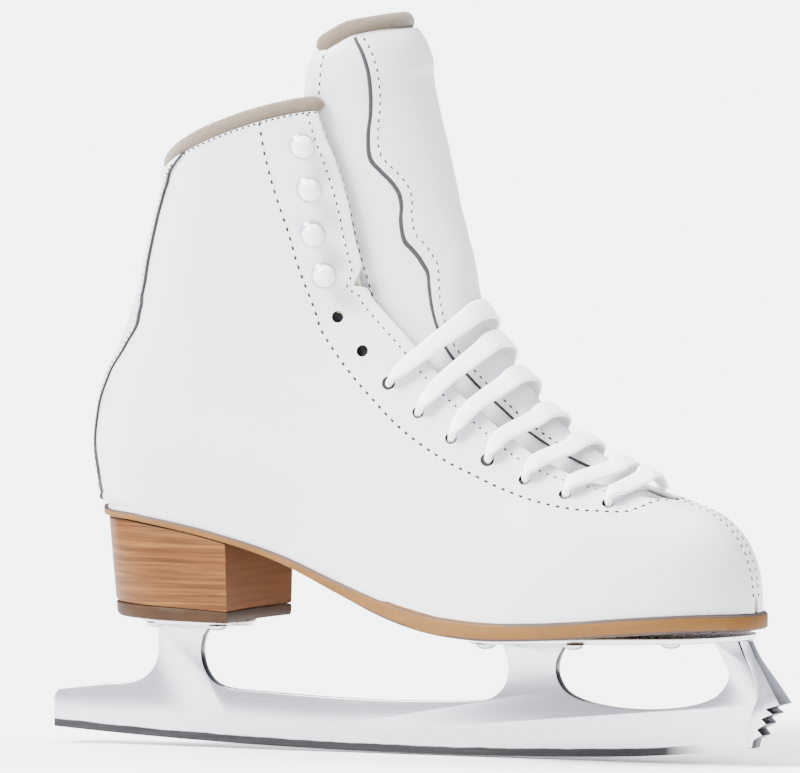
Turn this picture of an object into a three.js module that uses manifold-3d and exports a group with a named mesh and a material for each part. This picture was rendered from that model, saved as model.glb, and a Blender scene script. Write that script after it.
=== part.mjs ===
// A figure skate: a laced leather boot with a stacked wooden heel, on a chromed steel blade.
// Millimetres, +Z up. The toe points along +X, the lateral side faces -Y, and the blade stands on Z = 0.
// While the pieces are made, X = 0 is the back of the heel seat and Y = 0 is the plane of the blade;
// the last lines move the origin to the middle of the footprint.

import * as THREE from "three";
import { mergeVertices } from "three/addons/utils/BufferGeometryUtils.js";
import Module from "manifold-3d";

const wasm = await Module();
wasm.setup();

// ---------------------------------------------------------------- driving dimensions
const GAP = 0.3;                 // air between pieces that touch
const LATERAL = -1;
const MEDIAL = 1;
const SIDES = { lateral: LATERAL, medial: MEDIAL };

// depths of the layers of the upper, measured inwards from the outer face of the leather
const LEATHER = [0, 2.2];
const STIFFENER = [2.9, 3.7];
const FACING_STAY = [2.8, 4.8];
const LINING = [5.1, 7.1];
const BACKSTAY = [-2.2, -0.7];

const HEEL_ROUNDING = 32;        // depth over which the heel and the back of the shaft close
// how far behind the facing edge the row of eyelets and hooks lies: [station, millimetres]
const EYELET_SETBACKS = [[6.4, 4.9], [8.5, 9.2], [10.6, 14.4], [12.8, 16.2], [16, 15], [19.7, 16.3], [24, 8]];
const ROW_PITCH = 16.4;          // between eyelets along the row
const EYELET_ROWS = 9;           // holes; the rows above them are hooks
const HOOK_ROWS = 4;
const EYELET_HOLE_RADIUS = 2.7;
const LACE_RADIUS = 1.4;

const BLADE_THICKNESS = 4.2;
const ROCKER_RADIUS = 1720;
const ROCKER_CONTACT = 130;      // where the runner touches the ice
const SPIN_ROCKER_START = 205;
const SPIN_ROCKER_RADIUS = 536;
const PLATE_THICKNESS = 2.2;

const BREAST = 60;               // front face of the heel
const HEEL_BASE = 50.0;          // height of the heel's underside at its back
const HEEL_PITCH = 0.025;        // the heel's underside falls this much per mm towards the toe

// The boot is drawn on stations, from the tip of the toe to the collar. Each station is a slanted
// plane across the boot: sole = its point on the sole or the back, crown = its point on the instep,
// edge and girth = half widths at the sole and above it, round = how boxy the arch is,
// facing = the share of the way to the crown where the leather stops, and
// bulge = how far the tongue stands above the crown.
const STATIONS = [
  { sole: [263.0, 56.6], crown: [263.0, 63.0], edge: 1.5, girth: 1.5, round: 2.5, facing: 1.0, bulge: 0 },
  { sole: [262.0, 56.7], crown: [262.0, 71.0], edge: 8.0, girth: 8.2, round: 2.5, facing: 1.0, bulge: 0 },
  { sole: [259.0, 56.8], crown: [259.0, 79.8], edge: 14.5, girth: 15.0, round: 2.5, facing: 1.0, bulge: 0 },
  { sole: [254.0, 56.9], crown: [254.0, 87.2], edge: 20.5, girth: 21.3, round: 2.5, facing: 1.0, bulge: 0 },
  { sole: [246.0, 56.8], crown: [246.0, 93.5], edge: 26.7, girth: 27.7, round: 2.5, facing: 1.0, bulge: 0 },
  { sole: [236.0, 56.3], crown: [236.0, 97.3], edge: 32.0, girth: 33.2, round: 2.5, facing: 1.0, bulge: 0 },
  { sole: [222.0, 55.4], crown: [222.0, 102.0], edge: 37.0, girth: 38.0, round: 2.5, facing: 0.965, bulge: 1.5 },
  { sole: [205.0, 54.0], crown: [205.0, 109.5], edge: 41.0, girth: 41.5, round: 2.5, facing: 0.925, bulge: 1 },
  { sole: [188.0, 53.2], crown: [190.0, 118.5], edge: 43.0, girth: 42.0, round: 2.5, facing: 0.895, bulge: 0.5 },
  { sole: [170.0, 52.9], crown: [177.0, 129.0], edge: 42.0, girth: 41.0, round: 2.5, facing: 0.880, bulge: 0.5 },
  { sole: [150.0, 54.5], crown: [166.0, 140.5], edge: 38.5, girth: 40.0, round: 2.6, facing: 0.870, bulge: 2 },
  { sole: [128.0, 59.0], crown: [157.0, 151.5], edge: 34.0, girth: 39.0, round: 2.7, facing: 0.858, bulge: 2.5 },
  { sole: [105.0, 66.5], crown: [150.5, 161.0], edge: 29.5, girth: 38.0, round: 2.8, facing: 0.847, bulge: 3 },
  { sole: [80.0, 75.8], crown: [146.5, 169.5], edge: 28.0, girth: 37.0, round: 2.8, facing: 0.842, bulge: 5 },
  { sole: [50.0, 84.0], crown: [144.0, 177.0], edge: 29.5, girth: 36.5, round: 2.8, facing: 0.838, bulge: 6 },
  { sole: [22.0, 89.0], crown: [142.3, 183.5], edge: 30.0, girth: 36.3, round: 2.8, facing: 0.836, bulge: 6 },
  { sole: [0.2, 91.5], crown: [141.3, 189.5], edge: 31.0, girth: 36.3, round: 2.8, facing: 0.834, bulge: 5 },
  { sole: [-3.0, 103.0], crown: [140.5, 196.0], edge: 32.0, girth: 36.5, round: 2.8, facing: 0.828, bulge: 4 },
  { sole: [-4.2, 118.0], crown: [139.6, 203.0], edge: 33.0, girth: 36.8, round: 2.8, facing: 0.820, bulge: 2.6 },
  { sole: [-0.6, 137.5], crown: [138.5, 211.0], edge: 34.5, girth: 37.2, round: 2.7, facing: 0.806, bulge: 1.8 },
  { sole: [8.0, 154.5], crown: [137.3, 219.0], edge: 36.0, girth: 37.8, round: 2.6, facing: 0.790, bulge: 1 },
  { sole: [14.2, 170.0], crown: [136.0, 228.0], edge: 37.5, girth: 38.4, round: 2.5, facing: 0.770, bulge: 0 },
  { sole: [18.6, 187.0], crown: [134.2, 238.0], edge: 39.0, girth: 39.0, round: 2.4, facing: 0.745, bulge: -1 },
  { sole: [22.6, 201.0], crown: [132.8, 246.5], edge: 40.0, girth: 39.6, round: 2.3, facing: 0.715, bulge: -1.8 },
  { sole: [26.0, 213.0], crown: [131.5, 254.0], edge: 40.5, girth: 40.0, round: 2.2, facing: 0.690, bulge: -2 },
];
const TIP = 0;
const HEEL_SEAT = 16;            // the station that passes through the back corner of the heel seat
const COLLAR = STATIONS.length - 1;

// The tongue goes on above the collar: crown and edge points of its outer face, and half width.
const TONGUE_ABOVE = [
  { crown: [129.0, 260.0], edge: [90.5, 250.5], half: 25.4 },
  { crown: [126.0, 267.5], edge: [92.0, 260.0], half: 24.2 },
  { crown: [121.5, 273.0], edge: [97.0, 268.0], half: 20.4 },
];
const TONGUE_START = 6.35;
const TONGUE_FLEX = 13.15;       // station of the line where the tongue folds forward
const TONGUE_FLEX_GAP = 0.16;
const TONGUE_TOP = COLLAR + TONGUE_ABOVE.length;
const TONGUE_THICKNESS = 5;
const TONGUE_INSET = 5;          // its edges lie this far inside the facing edges
const OVERLAY = [0.7, 1.9];      // how far the tongue's centre panel stands off its outer face

// ---------------------------------------------------------------- small tools
const mix = (a, b, share) => a + (b - a) * share;
const ramp = (share) => {
  const clamped = Math.min(1, Math.max(0, share));
  return clamped * clamped * (3 - 2 * clamped);
};
const vec = (x, y, z) => new THREE.Vector3(x, y, z);

/** Values from `from` to `to`, both included. */
function steps(from, to, count) {
  return Array.from({ length: count + 1 }, (_, i) => mix(from, to, i / count));
}

/** Catmull-Rom value of one number taken from each row of a table, at a fractional row. */
function along(rows, at, read) {
  const last = rows.length - 1;
  const clamped = Math.min(last, Math.max(0, at));
  const i = Math.min(last - 1, Math.floor(clamped));
  const s = clamped - i;
  const [p0, p1, p2, p3] = [i - 1, i, i + 1, i + 2].map((k) => read(rows[Math.min(last, Math.max(0, k))]));
  const slope1 = (p2 - p0) / 2;
  const slope2 = (p3 - p1) / 2;
  return p1 + slope1 * s + (3 * (p2 - p1) - 2 * slope1 - slope2) * s * s
    + (2 * (p1 - p2) + slope1 + slope2) * s * s * s;
}

function makeMesh(name, geometry, color, roughness, metalness = 0) {
  const material = new THREE.MeshStandardMaterial({ color, roughness, metalness });
  const mesh = new THREE.Mesh(geometry, material);
  mesh.name = name;
  return mesh;
}

/** A geometry from a list of points and triangles, turned inside out if it encloses a negative volume. */
function solid(points, triangles) {
  let volume = 0;
  for (const [a, b, c] of triangles) {
    volume += points[a].dot(vec(0, 0, 0).crossVectors(points[b], points[c]));
  }
  const index = triangles.flatMap(([a, b, c]) => (volume < 0 ? [a, c, b] : [a, b, c]));
  const geometry = new THREE.BufferGeometry();
  geometry.setAttribute("position", new THREE.Float32BufferAttribute(points.flatMap((p) => p.toArray()), 3));
  geometry.setIndex(index);
  return geometry;
}

/** The closed body between two grids of the same size, face to face. */
function shell(outer, inner) {
  const rows = outer.length;
  const columns = outer[0].length;
  const points = [...outer.flat(), ...inner.flat()];
  const at = (layer, i, j) => layer * rows * columns + i * columns + j;
  const triangles = [];
  const quad = (a, b, c, d) => triangles.push([a, b, c], [a, c, d]);
  for (let i = 0; i + 1 < rows; i += 1) {
    for (let j = 0; j + 1 < columns; j += 1) {
      quad(at(0, i, j), at(0, i + 1, j), at(0, i + 1, j + 1), at(0, i, j + 1));
      quad(at(1, i, j), at(1, i, j + 1), at(1, i + 1, j + 1), at(1, i + 1, j));
    }
  }
  const rim = [];
  for (let i = 0; i + 1 < rows; i += 1) rim.push([i, 0]);
  for (let j = 0; j + 1 < columns; j += 1) rim.push([rows - 1, j]);
  for (let i = rows - 1; i > 0; i -= 1) rim.push([i, columns - 1]);
  for (let j = columns - 1; j > 0; j -= 1) rim.push([0, j]);
  rim.forEach(([i, j], k) => {
    const [m, n] = rim[(k + 1) % rim.length];
    quad(at(0, i, j), at(1, i, j), at(1, m, n), at(0, m, n));
  });
  return solid(points, triangles);
}

/** A round bar through the given points, one ring at each. */
function bar(path, radius, sides) {
  const points = [];
  let normal = null;
  path.forEach((point, i) => {
    const before = path[Math.max(0, i - 1)];
    const after = path[Math.min(path.length - 1, i + 1)];
    const direction = after.clone().sub(before).normalize();
    if (normal === null) normal = vec(0, 0, 1).cross(direction).normalize();
    normal.addScaledVector(direction, -normal.dot(direction)).normalize();
    const binormal = direction.clone().cross(normal);
    for (let k = 0; k < sides; k += 1) {
      const angle = (2 * Math.PI * k) / sides;
      points.push(point.clone()
        .addScaledVector(normal, radius * Math.cos(angle))
        .addScaledVector(binormal, radius * Math.sin(angle)));
    }
  });
  const triangles = [];
  for (let i = 0; i + 1 < path.length; i += 1) {
    for (let k = 0; k < sides; k += 1) {
      const a = i * sides + k;
      const b = i * sides + ((k + 1) % sides);
      triangles.push([a, b, b + sides], [a, b + sides, a + sides]);
    }
  }
  const end = (path.length - 1) * sides;
  for (let k = 1; k + 1 < sides; k += 1) {
    triangles.push([0, k + 1, k], [end, end + k, end + k + 1]);
  }
  return solid(points, triangles);
}

function toManifold(geometry) {
  const bare = geometry.clone();
  bare.deleteAttribute("normal");
  bare.deleteAttribute("uv");
  const merged = mergeVertices(bare, 1e-4);
  return new wasm.Manifold(new wasm.Mesh({
    numProp: 3,
    vertProperties: new Float32Array(merged.attributes.position.array),
    triVerts: new Uint32Array(merged.index.array),
  }));
}

function fromManifold(body) {
  const mesh = body.getMesh();
  const geometry = new THREE.BufferGeometry();
  geometry.setAttribute("position", new THREE.BufferAttribute(new Float32Array(mesh.vertProperties), 3));
  geometry.setIndex(new THREE.BufferAttribute(new Uint32Array(mesh.triVerts), 1));
  return geometry;
}

/** The geometry with each of the cutters taken out of it. */
function cut(geometry, cutters) {
  return fromManifold(cutters.reduce((body, cutter) => body.subtract(toManifold(cutter)), toManifold(geometry)));
}

/** A profile of [radius, height] pairs turned about the Z axis. */
function turned(profile, sides) {
  return new THREE.LatheGeometry(profile.map(([r, h]) => new THREE.Vector2(r, h)), sides).rotateX(Math.PI / 2);
}

/** A side-view shape given thickness across the blade, centred on Y = 0. */
function upright(shape, thickness, curveSegments) {
  return new THREE.ExtrudeGeometry(shape, { depth: thickness, bevelEnabled: false, curveSegments })
    .translate(0, 0, -thickness / 2)
    .rotateX(Math.PI / 2);
}

// ---------------------------------------------------------------- the surface of the boot
const BACK_PROFILE = steps(HEEL_SEAT, COLLAR, 64).map((t) => [
  along(STATIONS, t, (s) => s.sole[1]),
  along(STATIONS, t, (s) => s.sole[0]),
]);

/** X of the back of the boot at a height. */
function backAt(z) {
  const above = BACK_PROFILE.findIndex(([height]) => height > z);
  if (above === 0) return BACK_PROFILE[0][1];
  if (above < 0) return BACK_PROFILE.at(-1)[1];
  const [z0, x0] = BACK_PROFILE[above - 1];
  const [z1, x1] = BACK_PROFILE[above];
  return mix(x0, x1, (z - z0) / (z1 - z0));
}

function planeAt(t) {
  const sole = vec(along(STATIONS, t, (s) => s.sole[0]), 0, along(STATIONS, t, (s) => s.sole[1]));
  const crown = vec(along(STATIONS, t, (s) => s.crown[0]), 0, along(STATIONS, t, (s) => s.crown[1]));
  return { sole, crown, length: sole.distanceTo(crown) };
}

/** Middle of the boot's inside at a station, towards which every layer is set in. */
function heartAt(t) {
  const { sole, crown } = planeAt(t);
  const heart = sole.clone().lerp(crown, 0.5);
  heart.x = Math.min(heart.x, 228 + 0.2 * (heart.x - 228));
  return heart;
}

const SOLE_LINE = steps(TIP, HEEL_SEAT, 320).map((t) => planeAt(t).sole);

/** Height of the line where the upper meets the sole, at an X. */
function soleLineAt(x) {
  const behind = SOLE_LINE.findIndex((p) => p.x <= x);
  if (behind === 0) return SOLE_LINE[0].z;
  if (behind < 0) return SOLE_LINE.at(-1).z;
  const [a, b] = [SOLE_LINE[behind - 1], SOLE_LINE[behind]];
  return mix(a.z, b.z, (x - a.x) / (b.x - a.x));
}

const BLADE_INSET = 1.2;         // the blade is set this far towards the inside of the foot

/** Middle line of the boot: the forefoot leans a little towards the other foot. */
function sway(x) {
  return 4 * ramp((x - 150) / 110) - BLADE_INSET;
}

const COLLAR_ARCH = 5.6;         // rise of the collar's edge between the back and the facing
const collarLift = (t, v) => (
  COLLAR_ARCH * Math.sin(Math.PI * Math.min(1, v / 0.7)) ** 0.7 * ramp((t - 21) / 3));

/** Point of the boot: t = station, v = 0 at the sole or back to 1 at the crown, depth = inwards. */
function bootPoint(t, v, side, depth) {
  const { sole, crown } = planeAt(t);
  const point = sole.clone().lerp(crown, v);
  point.z += collarLift(t, v);
  const edge = along(STATIONS, t, (s) => s.edge);
  const girth = along(STATIONS, t, (s) => s.girth);
  const round = along(STATIONS, t, (s) => s.round);
  const fromBack = Math.max(0, point.x - backAt(point.z)) / HEEL_ROUNDING;
  const closing = fromBack >= 1 ? 1 : Math.sqrt(Math.max(0, 1 - (1 - fromBack) ** 2));
  const arch = Math.sqrt(Math.max(0, 1 - v ** round));
  const half = Math.max(GAP, mix(edge, girth, ramp(v / 0.4)) * arch * closing);
  point.y = side * half;
  const inwards = heartAt(t).sub(point);
  inwards.y += side * GAP;
  point.addScaledVector(inwards.normalize(), depth);
  point.y += sway(point.x);
  return point;
}

function facingAt(t) {
  return Math.min(1, along(STATIONS, t, (s) => s.facing));
}

/** Share v of the point that lies `setback` mm behind the facing edge. */
function behindFacing(t, setback) {
  return facingAt(t) - setback / planeAt(t).length;
}

const LEATHER_COLUMNS = 9;
/** Shares from 0 to 1 that lie closer together near both ends. */
const closeAtEnds = (columns) => steps(0, Math.PI, columns).map((angle) => (1 - Math.cos(angle)) / 2);

/** A sheet of the upper between stations, from v = low(t) to v = high(t), on one side. */
function upperSheet(stations, low, high, shares, side, [near, far]) {
  const grid = (depth) => stations.map((t) => shares.map((share) => (
    bootPoint(t, mix(low(t), high(t), share), side, depth))));
  return shell(grid(near), grid(far));
}

// stations where the sheets have their rows: close together at the toe and at the heel seat
const TOE_STATIONS = [TIP, 0.5, 1, 1.6, 2.3, 3, 4, 5];
const THROAT_STATIONS = [5.5, 6, 6.6, 7.3, 8, 9, 10, 11, 12, 13, 14, 15];
const HEEL_STATIONS = [15.5, 15.8, 16, 16.3, 17, 18];
const SHAFT_STATIONS = [19, 20, 21, 22, 23, 24];
const ALL_STATIONS = [...TOE_STATIONS, ...THROAT_STATIONS, ...HEEL_STATIONS, ...SHAFT_STATIONS];
const stationsBetween = (from, to) => ALL_STATIONS.filter((t) => t >= from && t <= to);

// ---------------------------------------------------------------- rows of eyelets and hooks
const ROW_START = 6.5;           // station of the eyelet nearest the toe

/** Share v of the row of eyelets at a station. */
function eyeletShare(t) {
  const next = Math.max(1, EYELET_SETBACKS.findIndex(([station]) => station >= t));
  const [[before, near], [after, far]] = [EYELET_SETBACKS[next - 1], EYELET_SETBACKS[next]];
  return behindFacing(t, mix(near, far, (t - before) / (after - before)));
}

/** Stations of the rows, evenly pitched along the facing. */
const ROWS = (() => {
  const place = (t) => bootPoint(t, eyeletShare(t), LATERAL, 0);
  const found = [ROW_START];
  let travelled = 0;
  let previous = place(ROW_START);
  for (let t = ROW_START; t < COLLAR && found.length < EYELET_ROWS + HOOK_ROWS; t += 0.01) {
    const here = place(t);
    travelled += here.distanceTo(previous);
    previous = here;
    if (travelled >= ROW_PITCH) {
      found.push(t);
      travelled = 0;
    }
  }
  return found;
})();

/** Place of one eyelet or hook, the direction its hole is drilled in, and the leather's normal. */
function rowPlace(row, side) {
  const t = ROWS[row];
  const v = eyeletShare(t);
  const point = bootPoint(t, v, side, 0);
  const outwards = point.clone().sub(bootPoint(t, v, side, 5)).normalize();
  const forwards = bootPoint(t + 0.1, v, side, 0).sub(point);
  const upwards = bootPoint(t, v + 0.01, side, 0).sub(point);
  const normal = forwards.cross(upwards).normalize();
  if (normal.dot(outwards) < 0) normal.negate();
  return { t, v, point, outwards, normal };
}

function eyeletDrills(side) {
  return steps(0, EYELET_ROWS - 1, EYELET_ROWS - 1).map((row) => {
    const { point, outwards } = rowPlace(row, side);
    const turn = new THREE.Quaternion().setFromUnitVectors(vec(0, 1, 0), outwards);
    return new THREE.CylinderGeometry(EYELET_HOLE_RADIUS, EYELET_HOLE_RADIUS, 24, 10)
      .applyQuaternion(turn)
      .translate(point.x, point.y, point.z);
  });
}

// ---------------------------------------------------------------- the sole line
/** Outline of the sole from toe to heel, grown by a margin: a list of { x, z, lateral, medial }. */
function footprint(stations, margin) {
  return stations.map((t) => {
    const { sole } = planeAt(t);
    const edge = along(STATIONS, t, (s) => s.edge);
    const outer = bootPoint(t, 0, MEDIAL, 0).y - sway(sole.x);
    const grown = outer * (edge + margin) / edge;
    const middle = STATIONS[TIP].sole[0] / 2;
    const x = middle + (sole.x - middle) * (1 + margin / middle);
    return { x, z: soleLineAt(x), lateral: sway(x) - grown, medial: sway(x) + grown };
  });
}

/** A slab on a footprint, between two heights above the sole line. */
function slab(outline, low, high) {
  const grid = (height) => outline.map((row) => [
    vec(row.x, row.lateral, row.z + height(row)),
    vec(row.x, sway(row.x), row.z + height(row)),
    vec(row.x, row.medial, row.z + height(row)),
  ]);
  return shell(grid(high), grid(low));
}

const SOLE_STATIONS = [0, 0.25, 0.5, 1, 1.6, 2.3, 3, 4, 5, 6, 7, 8, 9, 10, 11, 12, 13, 13.5, 14, 14.5,
  15, 15.3, 15.6, 15.8, 15.92, 15.98, 16];
const SOLE_MARGIN = 1.4;
const outsoleThickness = (x) => 2.6 + 3.9 * ramp((x - 65) / 85);

/** Height of the heel's underside at an X. */
const heelBaseAt = (x) => HEEL_BASE - HEEL_PITCH * x;

/** The stacked heel between two levels, tapering downwards; level 0 is the underside, 1 the seat. */
function heelLayer(low, high) {
  const outline = footprint([13.68, 14, 14.5, 15, 15.3, 15.6, 15.8, 15.92, 15.98, 16], SOLE_MARGIN);
  const grid = (level) => outline.map((row) => {
    const shrink = mix(0.93, 0.985, level);
    const x = BREAST + (row.x - outline[0].x) * shrink;
    const seat = soleLineAt(x) - outsoleThickness(x) - 3 * GAP;
    const z = mix(heelBaseAt(x), seat, level);
    return [vec(x, row.lateral * shrink, z), vec(x, row.medial * shrink, z)];
  });
  return shell(grid(high), grid(low));
}

// ---------------------------------------------------------------- blade
const rockerAt = (x) => {
  const onMain = Math.min(x, SPIN_ROCKER_START) - ROCKER_CONTACT;
  const main = (onMain * onMain) / (2 * ROCKER_RADIUS);
  const past = Math.max(0, x - SPIN_ROCKER_START);
  const slope = (SPIN_ROCKER_START - ROCKER_CONTACT) / ROCKER_RADIUS;
  return main + slope * past + (past * past) / (2 * SPIN_ROCKER_RADIUS);
};

const TOE_SEAT_SLOPE = 0.035;
/** Underside of the forepart of the sole, on which the toe plate is screwed. */
const toeSeatAt = (x) => 45.9 + TOE_SEAT_SLOPE * (x - 177);
const toePlateBaseAt = (x) => toeSeatAt(x) - GAP - PLATE_THICKNESS;
const heelPlateBaseAt = (x) => heelBaseAt(x) - GAP - PLATE_THICKNESS;

const TAIL = -25.5;
const RUNNER_FRONT = 262;

/** Side view of the runner with its stanchions. */
function runnerShape() {
  const shape = new THREE.Shape();
  shape.moveTo(TAIL, rockerAt(TAIL));
  for (const x of steps(TAIL, RUNNER_FRONT, 36).slice(1)) shape.lineTo(x, rockerAt(x));
  const spline = (points) => shape.splineThru(points.map(([x, z]) => new THREE.Vector2(x, z)));
  const toPlate = (x, baseAt) => shape.lineTo(x, baseAt(x) - GAP);
  // front of the toe stanchion, up to the toe plate
  spline([[262.5, 13.5], [264.5, 20], [266.6, 26], [264.6, 32], [261.5, 38]]);
  toPlate(257.5, toePlateBaseAt);
  toPlate(247.5, toePlateBaseAt);
  // front window, down round its floor and up the front of the middle stanchion
  spline([[251.2, 39.5], [253.7, 34.3], [252.6, 29.5], [248, 24.8], [239, 21.6], [227, 19.8],
    [216, 19.4], [205, 20], [195, 21.8], [187.6, 24.9], [184, 29.5], [183.1, 34.4], [184.2, 38.6]]);
  toPlate(187.2, toePlateBaseAt);
  toPlate(160.8, toePlateBaseAt);
  // long open bay between the middle stanchion and the heel stanchion
  spline([[162.8, 37.5], [163.5, 32.9], [162.4, 27.6], [159, 23.4], [152.8, 21], [135, 20], [110, 19.6],
    [85, 20.2], [60, 21.3], [47.7, 22.2], [41.5, 24.4], [37.6, 29.3], [36.1, 36], [37.2, 42]]);
  toPlate(40.6, heelPlateBaseAt);
  toPlate(17.4, heelPlateBaseAt);
  // back of the heel stanchion, running out along the top of the tail
  spline([[18.3, 40], [17.9, 33], [14.6, 27.1], [8, 23.6], [-5, 22.2], [-20, 20.4]]);
  spline([[-23.6, 19.6], [TAIL, 16.8]]);
  return shape;
}

/** Side view of the toe rake: the front face, then the picks down to the drag pick. */
function rakeShape() {
  const pickTips = [[276.4, 23.2], [273.4, 19.6], [270.6, 15.8], [268.6, 11.4], [264.0, 6.2]];
  const pickRoots = [[270.6, 21.4], [268.6, 17.6], [266.6, 13.6], [264.9, 9.6]];
  const shape = new THREE.Shape();
  shape.moveTo(258.3, toePlateBaseAt(258.3) - GAP);
  shape.lineTo(262.0, toePlateBaseAt(262) - GAP);
  shape.splineThru([[265.2, 40], [269.2, 34], [272.8, 28.6]].map(([x, z]) => new THREE.Vector2(x, z)));
  shape.lineTo(...pickTips[0]);
  pickRoots.forEach((root, i) => {
    shape.lineTo(...root);
    shape.lineTo(...pickTips[i + 1]);
  });
  shape.lineTo(RUNNER_FRONT + GAP, 7.4);
  shape.splineThru([[262.9, 13.4], [264.9, 19.8], [267.1, 26], [265.1, 32.1], [262.0, 38.1]]
    .map(([x, z]) => new THREE.Vector2(x, z)));
  return shape;
}

/** The rake flares from the blade's own thickness at the top to a wide row of picks. */
function rakeGeometry() {
  const geometry = upright(rakeShape(), 1, 3);
  const position = geometry.attributes.position;
  for (let i = 0; i < position.count; i += 1) {
    const z = position.getZ(i);
    const width = z > 22 ? mix(4.6, 11.5, ramp((44 - z) / 22)) : mix(7.5, 11.5, ramp((z - 6) / 16));
    position.setY(i, position.getY(i) * width);
  }
  return geometry;
}

/** Plan outline of a blade plate: round ends of two radii joined by straight sides. */
function plateOutline(length, rearHalf, frontHalf, segments) {
  const rear = steps(Math.PI / 2, 1.5 * Math.PI, segments)
    .map((a) => [rearHalf + rearHalf * Math.cos(a), rearHalf * Math.sin(a)]);
  const front = steps(-Math.PI / 2, Math.PI / 2, segments)
    .map((a) => [length - frontHalf + frontHalf * Math.cos(a), frontHalf * Math.sin(a)]);
  return new THREE.Shape([...rear, ...front].map(([x, y]) => new THREE.Vector2(x, y)));
}

/** A plate lying under a slanted seat, drilled for its screws; holes are [x, y] in the boot's frame. */
function plateGeometry(start, outline, slope, seatAt, holes) {
  const plate = new THREE.ExtrudeGeometry(outline, { depth: PLATE_THICKNESS, bevelEnabled: false });
  const top = seatAt(start) - GAP;
  plate.translate(0, 0, -PLATE_THICKNESS).rotateY(-slope).translate(start, 0, top);
  return cut(plate, holes.map(([x, y]) => drill(x, y, seatAt(x), -4, 4)));
}

const SCREW_HEAD = 3.9;
const SCREW_SHANK = 1.8;
const SCREW_LENGTH = 11;

/** Clearance hole for a screw through a seat at height `seat`, from below it to above it. */
function drill(x, y, seat, below, above) {
  const profile = [[0, below], [SCREW_SHANK + 0.4, below], [SCREW_SHANK + 0.4, above], [0, above]];
  return turned(profile, 8).translate(x, y, seat);
}

function screwGeometry(x, y, seat) {
  const head = -GAP - PLATE_THICKNESS - GAP;
  const profile = [[0, head - 1.9], [SCREW_HEAD * 0.7, head - 1.7], [SCREW_HEAD, head - 0.9], [SCREW_HEAD, head],
    [SCREW_SHANK, head], [SCREW_SHANK, SCREW_LENGTH - 4], [0, SCREW_LENGTH - 2]];
  return turned(profile, 10).translate(x, y, seat);
}

const HEEL_SCREWS = [[23, -13.5], [23, 13.5], [48, -12.5], [48, 12.5]];
const TOE_SCREWS = [[160, -14], [160, 14], [200, -23], [200, 23], [238, -19], [238, 19]];
const HEEL_PLATE_START = 12.5;
const HEEL_PLATE_LENGTH = 44;
const TOE_PLATE_START = 148;
const TOE_PLATE_LENGTH = 114;

// ---------------------------------------------------------------- tongue
/** Crown and edge of the tongue's outer face at a station, and its half width there. */
function tongueRow(t) {
  const below = (at) => {
    const { sole, crown, length } = planeAt(at);
    const bulge = along(STATIONS, at, (s) => s.bulge);
    const high = sole.clone().lerp(crown, 1 + bulge / length);
    const low = sole.clone().lerp(crown, behindFacing(at, 10));
    const half = Math.abs(bootPoint(at, facingAt(at), MEDIAL, 0).y - sway(high.x)) - TONGUE_INSET;
    return { crown: [high.x, high.z], edge: [low.x, low.z], half };
  };
  const first = Math.max(0, Math.floor(t) - 1);
  const rows = steps(first, first + 3, 3).map((k) => (k <= COLLAR ? below(k) : TONGUE_ABOVE[k - COLLAR - 1]))
    .filter((row) => row !== undefined);
  if (t < 8) return below(t);
  const read = (pick) => along(rows, t - first, pick);
  return {
    crown: [read((r) => r.crown[0]), read((r) => r.crown[1])],
    edge: [read((r) => r.edge[0]), read((r) => r.edge[1])],
    half: read((r) => r.half),
  };
}

/** Point of the tongue: angle 0 at the crown to -90 and 90 degrees at its edges, lift = outwards. */
function tonguePoint(t, degrees, lift) {
  const { crown, edge, half } = tongueRow(t);
  const angle = THREE.MathUtils.degToRad(degrees);
  const rise = Math.cos(angle);
  const x = mix(edge[0], crown[0], rise);
  const z = mix(edge[1], crown[1], rise);
  const point = vec(x, half * Math.sin(angle), z);
  const heart = vec(mix(edge[0], crown[0], -0.15), 0, mix(edge[1], crown[1], -0.15));
  point.addScaledVector(point.clone().sub(heart).normalize(), lift);
  point.y += sway(point.x);
  return point;
}

/** A curved sheet of the tongue between two stations and two angles. */
function tongueSheet(stations, span, columns, [low, high]) {
  const grid = (lift) => stations.map((t) => steps(-span(t), span(t), columns)
    .map((degrees) => tonguePoint(t, degrees, lift)));
  return shell(grid(high), grid(low));
}

const overlaySpan = (t) => 34 + 14 * ramp((t - 17) / 6);
const TONGUE_LOWER = [TONGUE_START, 7, 8, 9, 10, 11, 12, TONGUE_FLEX - TONGUE_FLEX_GAP];
const TONGUE_UPPER = [TONGUE_FLEX + TONGUE_FLEX_GAP, 14, 15, 16, 17.5, 19, 20.5, 22, 23, 24, 25, 26, 27];

// ---------------------------------------------------------------- lace
const LACE_CLEARANCE = LACE_RADIUS + 2.0;
const SLUMP = 0.75;              // how far, in rows, a slack bar sinks towards the toe at the crown

/** One bar across the throat at a row, from one side to the other, hole to hole. */
function laceBar(row, fromSide) {
  const { t, v } = rowPlace(row, fromSide);
  const hole = (side, depth) => bootPoint(t, v, side, depth);
  const station = (share) => {
    const slumped = row - SLUMP * share;
    return slumped >= 0 ? along(ROWS, slumped, (s) => s) : ROWS[0] + slumped * 0.55;
  };
  const rim = (side) => bootPoint(station(0.35), behindFacing(station(0.35), 1.5), side, -LACE_CLEARANCE - 0.9);
  const over = (degrees, side) => {
    const at = station(0.5 + 0.5 * Math.cos(THREE.MathUtils.degToRad(degrees)));
    return tonguePoint(at, side * degrees, OVERLAY[1] + LACE_CLEARANCE + 0.2);
  };
  const arch = [[60, fromSide], [38, fromSide], [17, fromSide], [17, -fromSide], [38, -fromSide], [60, -fromSide]];
  return [
    hole(fromSide, 7.4), hole(fromSide, -LACE_CLEARANCE - 0.3), rim(fromSide),
    ...arch.map(([degrees, side]) => over(degrees, side)),
    rim(-fromSide), hole(-fromSide, -LACE_CLEARANCE - 0.3), hole(-fromSide, 7.4),
  ];
}

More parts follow.
